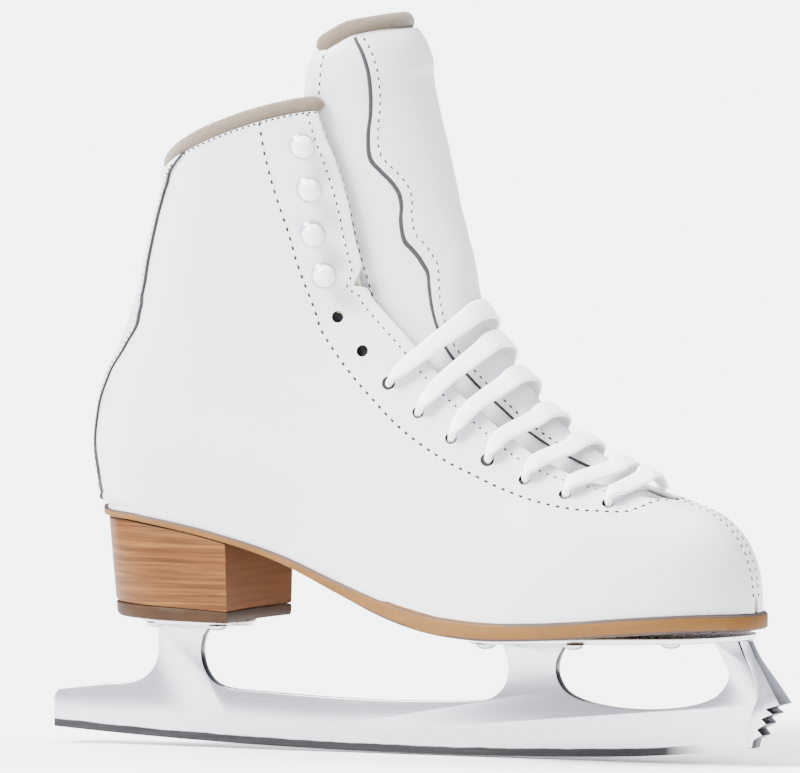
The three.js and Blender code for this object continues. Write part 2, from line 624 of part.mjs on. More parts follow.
// the bars in the order in which the lace runs through them; row 0 is nearest the toe,
// and between two bars the lace climbs or falls behind one facing
const LACING = [[5, MEDIAL], [3, LATERAL], [1, MEDIAL], [0, LATERAL], [2, MEDIAL], [4, LATERAL], [6, MEDIAL]];

const FOOTBED_TOP = 6.0;         // above the sole line
const HANK_START = 42;
const HANK_END = 178;
const HANK_Y = 8.4;
const HANK_HALF = 4.6;
const HANK_HEIGHT = 7.6;
const TAIL_DEPTH = 9;            // how far inside its eyelet a free end starts to fall
const TAIL_TURN = 9;             // radius on which a free end turns back into its hank

/** The hank in which one free end of the lace is put away, on the footbed. */
function hankGeometry(side) {
  const grid = (height) => steps(HANK_START, HANK_END, 14).map((x, i, all) => {
    const half = i === 0 || i === all.length - 1 ? HANK_HALF * 0.6 : HANK_HALF;
    return [-half, half].map((y) => vec(x, side * HANK_Y + y + sway(x), soleLineAt(x) + height));
  });
  return shell(grid(FOOTBED_TOP + GAP + HANK_HEIGHT), grid(FOOTBED_TOP + GAP));
}

/** Route of the free end from the inside of its eyelet down to the front of its hank. */
function tailPath(row, side) {
  const inside = bootPoint(ROWS[row], rowPlace(row, side).v, side, TAIL_DEPTH);
  const end = vec(HANK_END + GAP, side * HANK_Y + sway(HANK_END),
    soleLineAt(HANK_END) + FOOTBED_TOP + GAP + HANK_HEIGHT / 2);
  const turn = steps(0, Math.PI / 2, 4).map((angle) => vec(
    end.x + TAIL_TURN * Math.cos(angle), end.y, end.z + TAIL_TURN * (1 - Math.sin(angle))));
  const fall = [[0.25, 0.4, 0.3], [0.55, 0.75, 0.6], [0.85, 1, 0.85]].map(([x, y, z]) => vec(
    mix(inside.x, turn[0].x, x), mix(inside.y, end.y, y), mix(inside.z, turn[0].z, z)));
  return [inside, ...fall, ...turn];
}

function lacePath() {
  const bars = LACING.flatMap(([row, side]) => laceBar(row, side));
  const [firstRow, firstSide] = LACING[0];
  const [lastRow, lastSide] = LACING.at(-1);
  return [...tailPath(firstRow, firstSide).reverse(), ...bars, ...tailPath(lastRow, -lastSide)];
}

// ---------------------------------------------------------------- assembly
const WHITE_LEATHER = 0xf4f4f2;
const BEIGE = 0xcbbcae;
const CHROME = 0xd8dade;

const skate = new THREE.Group();
const add = (name, geometry, color, roughness, metalness) => {
  skate.add(makeMesh(name, geometry, color, roughness, metalness));
};

// blade
add("blade_runner", upright(runnerShape(), BLADE_THICKNESS, 3), CHROME, 0.15, 1);
add("toe_rake", rakeGeometry(), CHROME, 0.2, 1);
add("heel_plate", plateGeometry(HEEL_PLATE_START, plateOutline(HEEL_PLATE_LENGTH, 19, 17.5, 10),
  -HEEL_PITCH, heelBaseAt, HEEL_SCREWS), CHROME, 0.2, 1);
add("toe_plate", plateGeometry(TOE_PLATE_START, plateOutline(TOE_PLATE_LENGTH, 19, 26, 12),
  TOE_SEAT_SLOPE, toeSeatAt, TOE_SCREWS), CHROME, 0.2, 1);
HEEL_SCREWS.forEach(([x, y], i) => {
  add(`heel_screw_${i + 1}`, screwGeometry(x, y, heelBaseAt(x)), CHROME, 0.3, 1);
});
TOE_SCREWS.forEach(([x, y], i) => {
  add(`toe_screw_${i + 1}`, screwGeometry(x, y, toeSeatAt(x)), CHROME, 0.3, 1);
});

// heel and sole
const heelDrills = HEEL_SCREWS.map(([x, y]) => drill(x, y, heelBaseAt(x), -2, SCREW_LENGTH));
const liftShare = 0.14;
add("heel_lift", cut(heelLayer(0, liftShare), heelDrills), 0x8a6a42, 0.6);
add("heel_block", cut(heelLayer(liftShare + 0.008, 1), heelDrills), 0xa8714a, 0.5);

const outsole = slab(footprint(SOLE_STATIONS, SOLE_MARGIN),
  (row) => -GAP - outsoleThickness(row.x), () => -GAP);
const toeDrills = TOE_SCREWS.map(([x, y]) => drill(x, y, toeSeatAt(x), -4, SCREW_LENGTH));
add("outsole", cut(outsole, toeDrills), 0xb98a55, 0.5);
add("insole_board", cut(slab(footprint(SOLE_STATIONS, -7.4), () => GAP, () => 2.6), toeDrills), 0xc9ab7c, 0.8);
add("footbed", slab(footprint(SOLE_STATIONS, -7.9), () => 2.9, () => FOOTBED_TOP), 0xd8cdbf, 0.9);

// upper, one half of each layer on each side
for (const [label, side] of Object.entries(SIDES)) {
  const drills = eyeletDrills(side);
  const leather = upperSheet(ALL_STATIONS, () => 0, facingAt, closeAtEnds(LEATHER_COLUMNS), side, LEATHER);
  add(`quarter_${label}`, cut(leather, drills), WHITE_LEATHER, 0.35);
  const stay = upperSheet(stationsBetween(6, COLLAR), (t) => behindFacing(t, 19.5), (t) => behindFacing(t, 1),
    steps(0, 1, 3), side, FACING_STAY);
  add(`facing_stay_${label}`, cut(stay, drills), 0xe9e6e0, 0.7);
  const liningEdge = (t) => (t < 6 ? 1 : behindFacing(t, 20.5));
  add(`lining_${label}`, upperSheet(stationsBetween(3, COLLAR), () => 0.004, liningEdge, closeAtEnds(8), side, LINING), 0xe6ddd0, 0.8);
  add(`heel_counter_${label}`, upperSheet(stationsBetween(13, 19), () => 0, facingAt,
    closeAtEnds(LEATHER_COLUMNS).slice(0, 5), side, STIFFENER), 0xb9a48a, 0.8);
  add(`toe_box_${label}`, upperSheet(stationsBetween(1.6, 5), () => 0.05, () => 0.98, closeAtEnds(5), side, STIFFENER),
    0xc8b79b, 0.8);
}

/** The backstay: one strip over the back seam, from the heel seat to the collar. */
function backstayGeometry() {
  const widthAt = (t) => 12 + 13 * ramp((t - 16) / 4) - 5 * ramp((t - 20) / 2) + 10 * ramp((t - 22) / 2);
  const halfArc = (t) => (widthAt(t) / HEEL_ROUNDING);
  const grid = (depth) => stationsBetween(HEEL_SEAT + 0.3, COLLAR).map((t) => {
    const reach = planeAt(t);
    return steps(-1, 1, 8).map((share) => {
      const side = share < 0 ? LATERAL : MEDIAL;
      const back = HEEL_ROUNDING * (1 - Math.cos(halfArc(t) * Math.abs(share)));
      return bootPoint(t, back / reach.length, side, depth);
    });
  });
  return shell(grid(BACKSTAY[0]), grid(BACKSTAY[1]));
}
add("backstay", backstayGeometry(), WHITE_LEATHER, 0.35);

/** A padded roll along the top of the collar, round the back from facing to facing. */
function collarPath() {
  const rise = vec(-0.1, 0, 1).normalize().multiplyScalar(3.2 + GAP);
  const half = (side) => steps(0.06, 0.96, 9).map((share) => {
    const v = Math.sin(share * Math.asin(facingAt(COLLAR)));
    return bootPoint(COLLAR, v, side, 3.3).add(rise);
  });
  return [...half(LATERAL).reverse(), ...half(MEDIAL)];
}
add("collar_binding", bar(collarPath(), 3.2, 10), BEIGE, 0.8);

// tongue
add("tongue_lower", tongueSheet(TONGUE_LOWER, () => 90, 10, [-TONGUE_THICKNESS, 0]), WHITE_LEATHER, 0.4);
add("tongue_panel_lower", tongueSheet(TONGUE_LOWER.slice(1), overlaySpan, 5, OVERLAY), WHITE_LEATHER, 0.35);
add("tongue_upper", tongueSheet(TONGUE_UPPER, () => 90, 10, [-TONGUE_THICKNESS, 0]), WHITE_LEATHER, 0.4);
add("tongue_panel_upper", tongueSheet(TONGUE_UPPER.slice(0, -1), overlaySpan, 6, OVERLAY), WHITE_LEATHER, 0.35);
const bindingPath = steps(-84, 84, 14).map((degrees) => (
  tonguePoint(TONGUE_TOP, degrees, -TONGUE_THICKNESS / 2).add(vec(-0.4, 0, 3 + GAP))));
add("tongue_binding", bar(bindingPath, 2.8, 10), BEIGE, 0.8);

// speed hooks: a flanged stem and a domed head, riveted through the facing
const HOOK_PROFILE = [[0, 0.5], [3.4, 0.5], [3.4, 1.0], [1.9, 1.3], [1.9, 3.2], [4.2, 3.5], [4.3, 4.5],
  [3.4, 5.9], [1.8, 6.7], [0, 6.9]];
for (const [label, side] of Object.entries(SIDES)) {
  for (let i = 0; i < HOOK_ROWS; i += 1) {
    const { point, normal } = rowPlace(EYELET_ROWS + i, side);
    const hook = makeMesh(`hook_${label}_${i + 1}`, turned(HOOK_PROFILE, 12), 0xf2f2f0, 0.3);
    hook.quaternion.setFromUnitVectors(vec(0, 0, 1), normal);
    hook.position.copy(point);
    skate.add(hook);
  }
}

// lace, its two put-away ends and their tips
add("lace", bar(lacePath(), LACE_RADIUS, 8), 0xfafafa, 0.8);
const AGLET_LENGTH = 20;
for (const [label, side] of Object.entries(SIDES)) {
  add(`lace_hank_${label}`, hankGeometry(side), 0xfafafa, 0.8);
  const z = soleLineAt(HANK_START - AGLET_LENGTH) + FOOTBED_TOP + GAP + 1.5;
  const end = vec(HANK_START - GAP, side * HANK_Y, soleLineAt(HANK_START) + FOOTBED_TOP + GAP + 2.2);
  const tip = vec(HANK_START - AGLET_LENGTH, side * HANK_Y, z);
  add(`aglet_${label}`, bar([end, tip], 1.4, 8), 0xf0f0f0, 0.2);
}

// origin: middle of the footprint, on the ground
const box = new THREE.Box3().setFromObject(skate);
const middle = box.getCenter(vec(0, 0, 0));
skate.position.set(-middle.x, -middle.y, -box.min.z);

const figureSkate = new THREE.Group();
figureSkate.add(skate);
export default figureSkate;
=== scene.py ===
"""A laced figure skate for the right foot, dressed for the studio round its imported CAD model."""
import math
from functools import lru_cache

import bmesh
import bpy
from mathutils import Matrix, Vector


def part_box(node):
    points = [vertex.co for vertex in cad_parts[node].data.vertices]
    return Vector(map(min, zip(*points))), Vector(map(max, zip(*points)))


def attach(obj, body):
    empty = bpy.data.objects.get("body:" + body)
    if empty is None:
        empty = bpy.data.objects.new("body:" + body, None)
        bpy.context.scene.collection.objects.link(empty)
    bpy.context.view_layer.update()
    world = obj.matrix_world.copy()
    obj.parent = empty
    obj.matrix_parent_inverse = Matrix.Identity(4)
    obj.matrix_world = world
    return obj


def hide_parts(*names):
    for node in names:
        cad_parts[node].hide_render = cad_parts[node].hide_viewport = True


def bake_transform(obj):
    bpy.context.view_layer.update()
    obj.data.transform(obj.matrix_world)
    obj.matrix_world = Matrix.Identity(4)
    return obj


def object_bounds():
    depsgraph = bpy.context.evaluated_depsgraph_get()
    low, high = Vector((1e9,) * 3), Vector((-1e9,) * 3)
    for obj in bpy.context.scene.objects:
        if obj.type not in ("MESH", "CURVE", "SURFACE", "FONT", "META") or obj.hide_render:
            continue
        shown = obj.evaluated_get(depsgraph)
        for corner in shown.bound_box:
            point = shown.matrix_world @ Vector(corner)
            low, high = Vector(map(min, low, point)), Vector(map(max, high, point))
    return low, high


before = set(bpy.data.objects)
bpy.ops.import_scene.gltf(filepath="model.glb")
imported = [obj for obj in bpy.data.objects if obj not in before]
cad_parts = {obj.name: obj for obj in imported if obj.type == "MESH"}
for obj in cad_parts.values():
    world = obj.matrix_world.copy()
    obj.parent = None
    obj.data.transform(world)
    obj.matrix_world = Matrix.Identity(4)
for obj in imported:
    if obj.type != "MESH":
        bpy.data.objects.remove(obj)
cad_low, cad_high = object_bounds()
bpy.ops.object.select_all(action="DESELECT")


# ---- Camera
# Low and a quarter turn round towards the toe, through a long lens from well across the room,
# so that the blade stays nearly level and the near side of the boot is seen flat on.
CAMERA_TURN = math.radians(25)
CAMERA_RISE = math.radians(3.3)
CAMERA_DISTANCE = 7.5
blade_low, blade_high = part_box("blade_runner")
blade_plane = (blade_low.y + blade_high.y) / 2
aim = Vector(((cad_low.x + cad_high.x) / 2 - 0.0075, blade_plane, 0.1376))
away = Vector((
    math.sin(CAMERA_TURN) * math.cos(CAMERA_RISE),
    -math.cos(CAMERA_TURN) * math.cos(CAMERA_RISE),
    math.sin(CAMERA_RISE),
))
bpy.ops.object.camera_add(location=aim + away * CAMERA_DISTANCE)
camera = bpy.context.object
camera.rotation_euler = away.to_track_quat("Z", "Y").to_euler()
camera.data.lens = 900
camera.data.sensor_width = 36
camera.data.clip_end = 60
bpy.context.scene.camera = camera


# ---- The last
# The wooden form that the boot is pulled over. The leather, the tongue and the lace all follow it,
# so their shapes are read from it. Its sizes are in millimetres from the back of the heel seat.
LATERAL = -1
MEDIAL = 1
MM = 0.001
SEAM = 0.05                      # half the gap where the two quarters meet
HEEL_ROUNDING = 32               # depth over which the heel and the back of the shaft close
TAIL_OVERHANG = 25.5             # the runner's tail stands this far behind the heel seat
BLADE_INSET = 1.2                # the blade is set this far towards the inside of the foot
last_origin = Vector((blade_low.x + TAIL_OVERHANG * MM, blade_plane, 0))

# station by station from the tip of the toe to the collar: x and z on the sole or the back,
# x and z on the instep, half widths at the sole and above it, boxiness of the arch,
# share of the way to the instep where the leather stops, height of the tongue over the instep
LAST = (
    (263.0, 56.6, 263.0, 63.0, 1.5, 1.5, 2.5, 1.0, 0),
    (262.0, 56.7, 262.0, 71.0, 8.0, 8.2, 2.5, 1.0, 0),
    (259.0, 56.8, 259.0, 79.8, 14.5, 15.0, 2.5, 1.0, 0),
    (254.0, 56.9, 254.0, 87.2, 20.5, 21.3, 2.5, 1.0, 0),
    (246.0, 56.8, 246.0, 93.5, 26.7, 27.7, 2.5, 1.0, 0),
    (236.0, 56.3, 236.0, 97.3, 32.0, 33.2, 2.5, 1.0, 0),
    (222.0, 55.4, 222.0, 102.0, 37.0, 38.0, 2.5, 0.965, 1.5),
    (205.0, 54.0, 205.0, 109.5, 41.0, 41.5, 2.5, 0.925, 1),
    (188.0, 53.2, 190.0, 118.5, 43.0, 42.0, 2.5, 0.895, 0.5),
    (170.0, 52.9, 177.0, 129.0, 42.0, 41.0, 2.5, 0.880, 0.5),
    (150.0, 54.5, 166.0, 140.5, 38.5, 40.0, 2.6, 0.870, 2),
    (128.0, 59.0, 157.0, 151.5, 34.0, 39.0, 2.7, 0.858, 2.5),
    (105.0, 66.5, 150.5, 161.0, 29.5, 38.0, 2.8, 0.847, 3),
    (80.0, 75.8, 146.5, 169.5, 28.0, 37.0, 2.8, 0.842, 5),
    (50.0, 84.0, 144.0, 177.0, 29.5, 36.5, 2.8, 0.838, 6),
    (22.0, 89.0, 142.3, 183.5, 30.0, 36.3, 2.8, 0.836, 6),
    (0.2, 91.5, 141.3, 189.5, 31.0, 36.3, 2.8, 0.834, 5),
    (-3.0, 103.0, 140.5, 196.0, 32.0, 36.5, 2.8, 0.828, 4),
    (-4.2, 118.0, 139.6, 203.0, 33.0, 36.8, 2.8, 0.820, 2.6),
    (-0.6, 137.5, 138.5, 211.0, 34.5, 37.2, 2.7, 0.806, 1.8),
    (8.0, 154.5, 137.3, 219.0, 36.0, 37.8, 2.6, 0.790, 1),
    (14.2, 170.0, 136.0, 228.0, 37.5, 38.4, 2.5, 0.770, 0),
    (18.6, 187.0, 134.2, 238.0, 39.0, 39.0, 2.4, 0.745, -1),
    (22.6, 201.0, 132.8, 246.5, 40.0, 39.6, 2.3, 0.715, -1.8),
    (26.0, 213.0, 131.5, 254.0, 40.5, 40.0, 2.2, 0.690, -2),
)
HEEL_SEAT = 16
COLLAR = len(LAST) - 1
(SOLE_X, SOLE_Z, CROWN_X, CROWN_Z, EDGE, GIRTH, ROUND, FACING, BULGE) = range(9)


def placed(point):
    """A point of the last, in millimetres, as a place in the frame, in metres."""
    return last_origin + Vector(point) * MM


def mix(a, b, share):
    return a + (b - a) * share


def steps(first, last, count):
    return [mix(first, last, i / count) for i in range(count + 1)]


def ramp(share):
    share = min(1.0, max(0.0, share))
    return share * share * (3 - 2 * share)


def smooth_between(rows, at):
    """Rows of numbers read at a fractional row, on a smooth curve through them."""
    end = len(rows) - 1
    at = min(end, max(0.0, at))
    i = min(end - 1, int(at))
    s = at - i
    p0, p1, p2, p3 = (rows[min(end, max(0, k))] for k in (i - 1, i, i + 1, i + 2))
    return [
        b + (c - a) / 2 * s
        + (3 * (c - b) - (c - a) - (d - b) / 2) * s ** 2
        + (2 * (b - c) + (c - a) / 2 + (d - b) / 2) * s ** 3
        for a, b, c, d in zip(p0, p1, p2, p3)
    ]


@lru_cache(maxsize=None)
def station(t):
    """The last at a station: its nine sizes, the two ends of its plane and their distance."""
    row = smooth_between(LAST, t)
    sole = Vector((row[SOLE_X], 0, row[SOLE_Z]))
    crown = Vector((row[CROWN_X], 0, row[CROWN_Z]))
    return row, sole, crown, (crown - sole).length


back_line = [station(t)[1] for t in steps(HEEL_SEAT, COLLAR, 64)]
sole_line = [station(t)[1] for t in steps(0, HEEL_SEAT, 320)]


@lru_cache(maxsize=None)
def back_at(z):
    """How far forward the back of the boot is at a height."""
    if z < back_line[0].z:
        return back_line[0].x
    for below, above in zip(back_line, back_line[1:]):
        if above.z > z:
            return mix(below.x, above.x, (z - below.z) / (above.z - below.z))
    return back_line[-1].x


def sole_at(x):
    """Height of the line where the upper meets the sole."""
    if x >= sole_line[0].x:
        return sole_line[0].z
    for ahead, behind in zip(sole_line, sole_line[1:]):
        if behind.x <= x:
            return mix(ahead.z, behind.z, (x - ahead.x) / (behind.x - ahead.x))
    return sole_line[-1].z


def sway(x):
    """Middle line of the boot: the toe leans a little towards the other foot."""
    return 4 * ramp((x - 150) / 110) - BLADE_INSET


def heart(t):
    """Middle of the boot's inside at a station."""
    _, sole, crown, _ = station(t)
    middle = sole.lerp(crown, 0.5)
    middle.x = min(middle.x, 228 + 0.2 * (middle.x - 228))
    return middle


COLLAR_ARCH = 5.6                # rise of the collar's edge between the back and the facing


def upper(t, v, side, depth, gap=SEAM):
    """Point of the boot: t = station, v = 0 at the sole to 1 at the instep, depth = inwards."""
    row, sole, crown, _ = station(t)
    point = sole.lerp(crown, v)
    if t > 21 and v > 0:
        point.z += COLLAR_ARCH * max(0.0, math.sin(math.pi * min(1.0, v / 0.7))) ** 0.7 * ramp((t - 21) / 3)
    from_back = max(0.0, point.x - back_at(round(point.z, 4))) / HEEL_ROUNDING
    closing = 1.0 if from_back >= 1 else math.sqrt(1 - (1 - from_back) ** 2)
    arch = math.sqrt(max(0.0, 1 - max(0.0, v) ** row[ROUND]))
    point.y = side * max(gap, mix(row[EDGE], row[GIRTH], ramp(v / 0.4)) * arch * closing)
    inwards = heart(t) - point
    inwards.y += side * gap
    point += inwards.normalized() * depth
    point.y += sway(point.x)
    return point


def facing(t):
    return min(1.0, station(t)[0][FACING])


def behind_facing(t, setback):
    """Share v of the point that lies setback millimetres behind the facing edge."""
    return facing(t) - setback / station(t)[3]


def upper_normal(t, v, side):
    """Direction out of the leather."""
    ahead = upper(t + 0.05, v, side, 0) - upper(t - 0.05, v, side, 0)
    up = upper(t, v + 0.005, side, 0) - upper(t, v - 0.005, side, 0)
    normal = ahead.cross(up).normalized()
    if normal.dot(upper(t, v, side, 0) - heart(t)) < 0:
        normal.negate()
    return normal


# the row of eyelets and hooks, evenly pitched, counted from the toe, and how many millimetres
# behind the facing edge it lies by station
EYELET_SETBACKS = ((6.4, 4.9), (8.5, 9.2), (10.6, 14.4), (12.8, 16.2), (16, 15), (19.7, 16.3), (24, 8))
ROW_PITCH = 16.4
ROW_START = 6.5
EYELET_ROWS = 9
HOOK_ROWS = 4


def eyelet_share(t):
    """Share v of the row of eyelets at a station."""
    for (before, near), (after, far) in zip(EYELET_SETBACKS, EYELET_SETBACKS[1:]):
        if t <= after:
            return behind_facing(t, mix(near, far, (t - before) / (after - before)))
    return behind_facing(t, EYELET_SETBACKS[-1][1])


def find_rows():
    found, travelled, t = [ROW_START], 0, ROW_START
    here = upper(t, eyelet_share(t), LATERAL, 0)
    while len(found) < EYELET_ROWS + HOOK_ROWS:
        t += 0.01
        ahead = upper(t, eyelet_share(t), LATERAL, 0)
        travelled += (ahead - here).length
        here = ahead
        if travelled >= ROW_PITCH:
            found.append(t)
            travelled = 0
    return found


rows = find_rows()


# ---- The tongue's shape
# The lace lies on it, so it is worked out before the lace: an arch that follows the instep
# and goes on above the collar.
TONGUE_ABOVE = (                 # crown x and z, edge x and z, half width
    (129.0, 260.0, 90.5, 250.5, 25.4),
    (126.0, 267.5, 92.0, 260.0, 24.2),
    (121.5, 273.0, 97.0, 268.0, 20.4),
)
TONGUE_TOP = COLLAR + len(TONGUE_ABOVE)
TONGUE_INSET = 5
OVERLAY = (0.7, 1.9)             # how far its centre panel stands off it


@lru_cache(maxsize=None)
def tongue_below(t):
    row, sole, crown, length = station(t)
    high = sole.lerp(crown, 1 + row[BULGE] / length)
    low = sole.lerp(crown, behind_facing(t, 10))
    half = abs(upper(t, facing(t), MEDIAL, 0).y - sway(high.x)) - TONGUE_INSET
    return high.x, high.z, low.x, low.z, half


@lru_cache(maxsize=None)
def tongue_row(t):
    if t < 8:
        return tongue_below(t)
    first = int(t) - 1
    wanted = [k for k in range(first, first + 4) if k <= TONGUE_TOP]
    near = [tongue_below(float(k)) if k <= COLLAR else TONGUE_ABOVE[k - COLLAR - 1] for k in wanted]
    return smooth_between(near, t - first)


def tongue(t, degrees, lift):
    """Point of the tongue: 0 degrees at its crown, 90 at its edges, lift = outwards."""
    crown_x, crown_z, edge_x, edge_z, half = tongue_row(t)
    angle = math.radians(degrees)
    rise = math.cos(angle)
    point = Vector((mix(edge_x, crown_x, rise), half * math.sin(angle), mix(edge_z, crown_z, rise)))
    middle = Vector((mix(edge_x, crown_x, -0.15), 0, mix(edge_z, crown_z, -0.15)))
    point += (point - middle).normalized() * lift
    point.y += sway(point.x)
    return point


# ---- Lace
# A flat woven cotton lace, 8.5 mm wide. It runs straight across outside and climbs behind the
# facings, sinks slack towards the toe on the crown, and its ends are put away inside the boot.
LACE_WIDTH = 8.5
LACE_THICK = 1.7
LACE_CLEARANCE = 3.4
BRIDGE = 0.8                     # lift over the tongue's shoulders, where the lace spans from edge to crown
SLUMP = 0.75                     # how far, in rows, a slack bar sinks towards the toe
LACING = ((5, MEDIAL), (3, LATERAL), (1, MEDIAL), (0, LATERAL), (2, MEDIAL), (4, LATERAL), (6, MEDIAL))
FOOTBED_TOP = 6.0
HANK_START, HANK_END = 42, 178
HANK_Y = 8.4
HANK_RUNS = 3
HANK_PITCH = 3.0
HANK_FOLD = 1.9                  # how far the folds at the hank's ends stand out
TAIL_TURN = 9


class Route:
    """The lace's centreline with, at each point, the way its flat face looks and its width."""

    def __init__(self):
        self.points, self.faces, self.widths = [], [], []

    def add(self, points, faces, widths):
        self.points += [Vector(p) for p in points]
        self.faces += [Vector(f) for f in faces]
        self.widths += list(widths)


def bar_route(row, side):
    """One bar across the throat, from the inside of one eyelet to the inside of the other."""
    t = rows[row]
    v = eyelet_share(t)

    def slumped(share):
        at = row - SLUMP * share
        return smooth_between([(r,) for r in rows], at)[0] if at >= 0 else rows[0] + at * 0.55

    def rim(which):
        at = slumped(0.35)
        return upper(at, behind_facing(at, 1.5), which, -LACE_CLEARANCE + 0.4)

    points, faces, widths = [], [], []

    def put(point, face, width):
        points.append(point)
        faces.append(face)
        widths.append(width)

    for which, order in ((side, 1), (-side, -1)):
        out = upper_normal(t, v, which)
        along_row = (upper(t + 0.3, v, which, 0) - upper(t - 0.3, v, which, 0)).normalized()
        towards_rim = (rim(which) - upper(t, v, which, 0)).normalized()
        stretch = [
            (upper(t, v, which, 6.6), along_row, 4.6),
            (upper(t, v, which, 1.2) + towards_rim * 0.6, along_row, 3.3),
            (upper(t, v, which, -1.5) + towards_rim * 1.7, (along_row + out * 0.4), 3.7),
            (upper(t, v, which, -2.3) + towards_rim * 5.0, out, 5.4),
            (rim(which), out, 6.6),
        ]
        if order == 1:
            for point, face, width in stretch:
                put(point, face, width)
            for degrees in (38, 19, 0, -19, -38):
                at = slumped(0.5 + 0.5 * math.cos(math.radians(degrees)))
                where = tongue(at, side * degrees, OVERLAY[1] + 2.6 + BRIDGE * abs(degrees) / 38)
                lifted = tongue(at, side * degrees, OVERLAY[1] + 8) - where
                ahead = tongue(at - 0.3, side * degrees, OVERLAY[1] + 2.6) - where
                crown = math.cos(math.radians(degrees)) ** 2
                tilt = lifted.normalized() + ahead.normalized() * 0.55 * crown
                put(where, tilt.normalized(), mix(6.8, LACE_WIDTH, crown))
        else:
            for point, face, width in reversed(stretch):
                put(point, face, width)
    return points, faces, widths


def tail_route(row, side):
    """A free end: from inside its eyelet down to its hank, folded to and fro on the footbed."""
    t = rows[row]
    v = eyelet_share(t)
    inside = upper(t, v, side, 9)
    height = FOOTBED_TOP + 0.3 + LACE_THICK / 2
    runs = [height + HANK_PITCH * k for k in range(HANK_RUNS)]
    end_z = sole_at(HANK_END) + runs[-1]
    y = side * HANK_Y + sway(HANK_END)
    turn_x = HANK_END + 0.3
    turn = [
        Vector((turn_x + TAIL_TURN * math.cos(a), y, end_z + TAIL_TURN * (1 - math.sin(a))))
        for a in steps(0, math.pi / 2, 4)
    ]
    start = turn[0]
    fall = [
        Vector((mix(inside.x, start.x, a), mix(inside.y, y, b), mix(inside.z, start.z, c)))
        for a, b, c in ((0.25, 0.4, 0.3), (0.55, 0.75, 0.6), (0.85, 1, 0.85))
    ]
    points = [inside, *fall, *turn]
    for k, rise in enumerate(reversed(runs)):
        low, high = (HANK_START + 2, HANK_END - 2)
        order = steps(high, low, 9) if k % 2 == 0 else steps(low, high, 9)
        points += [Vector((x, side * HANK_Y + sway(x), sole_at(x) + rise)) for x in order]
        if k < HANK_RUNS - 1:
            fold_x = order[-1] + (-HANK_FOLD if k % 2 == 0 else HANK_FOLD)
            middle_rise = sole_at(fold_x) + rise - HANK_PITCH / 2
            points.append(Vector((fold_x, side * HANK_Y + sway(fold_x), middle_rise)))
    up = Vector((0, 0, 1))
    inward = Vector((0, -side, 0))
    faces = [inward, inward, (inward + up).normalized()] + [Vector((1, 0, 0.2))] * 2
    faces += [Vector((1, 0, 1)).normalized()] * 2 + [up] * (len(points) - 7)
    widths = [5.0, 6.5] + [LACE_WIDTH] * (len(points) - 2)
    return points, faces, widths


def lace_route():
    route = Route()
    (first_row, first_side), (last_row, last_side) = LACING[0], LACING[-1]
    route.add(*(list(reversed(part)) for part in tail_route(first_row, first_side)))
    for row, side in LACING:
        route.add(*bar_route(row, side))
    route.add(*tail_route(last_row, -last_side))
    return route


def new_object(name, vertices, faces, body):
    """A mesh piece that rides on a body, from points in metres."""
    mesh = bpy.data.meshes.new(name)
    mesh.from_pydata(vertices, [], faces)
    mesh.update()
    piece = bpy.data.objects.new(name, mesh)
    bpy.context.scene.collection.objects.link(piece)
    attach(piece, body)
    return piece


def outwards(piece):
    """Merges a mesh's doubled points and turns its faces outwards."""
    body = bmesh.new()
    body.from_mesh(piece.data)
    bmesh.ops.remove_doubles(body, verts=body.verts, dist=1e-6)
    bmesh.ops.recalc_face_normals(body, faces=body.faces)
    body.to_mesh(piece.data)
    body.free()
    piece.data.update()
    return piece


def softly(piece, degrees=40):
    """Smooth shading, with edges sharper than an angle kept sharp."""
    piece.data.shade_smooth()
    piece.data.set_sharp_from_angle(angle=math.radians(degrees))
    return piece


def flat_tube(name, route, spacing, thickness, sides, body):
    """A band with rounded edges along a route, with a UV map: U along it in metres, V round it."""
    controls = [
        (*p, *f, w) for p, f, w in zip(route.points, route.faces, route.widths)
    ]
    fine = []
    for i in range(len(controls) - 1):
        gap = (Vector(controls[i + 1][:3]) - Vector(controls[i][:3])).length
        parts = max(1, round(gap / spacing))
        fine += [smooth_between(controls, i + k / parts) for k in range(parts)]
    fine.append(controls[-1])
    centres = [Vector(row[:3]) for row in fine]
    far, vertices, faces = [0.0], [], []
    for a, b in zip(centres, centres[1:]):
        far.append(far[-1] + (b - a).length)
    across = None
    for i, row in enumerate(fine):
        ahead = (centres[min(i + 1, len(fine) - 1)] - centres[max(i - 1, 0)]).normalized()
        face = Vector(row[3:6]).normalized()
        aside = face.cross(ahead)
        if aside.length < 0.2 and across is not None:
            aside = across - ahead * across.dot(ahead)
        aside.normalize()
        if across is not None and aside.dot(across) < 0:
            aside.negate()
        across = aside
        up = ahead.cross(aside).normalized()
        half = row[6] / 2
        tall = thickness / 2 * (LACE_WIDTH / row[6]) ** 0.5
        for k in range(sides):
            angle = 2 * math.pi * k / sides
            c, s = math.cos(angle), math.sin(angle)
            flat = math.copysign(abs(c) ** 0.7, c) * half
            lift = math.copysign(abs(s) ** 0.75, s) * tall
            vertices.append(placed(centres[i] + aside * flat + up * lift))
    for i in range(len(fine) - 1):
        for k in range(sides):
            a, b = i * sides + k, i * sides + (k + 1) % sides
            faces.append((a, b, b + sides, a + sides))
    faces.append(tuple(reversed(range(sides))))
    faces.append(tuple(range(len(vertices) - sides, len(vertices))))
    piece = new_object(name, vertices, faces, body)
    layer = piece.data.uv_layers.new(name="weave")
    for polygon in piece.data.polygons[:-2]:
        i, k = divmod(polygon.index, sides)
        corners = ((i, k), (i, k + 1), (i + 1, k + 1), (i + 1, k))
        for loop, (ring, place) in zip(polygon.loop_indices, corners):
            layer.data[loop].uv = (far[ring] * MM, place / sides)
    return softly(piece, 60), [placed(c) for c in centres]


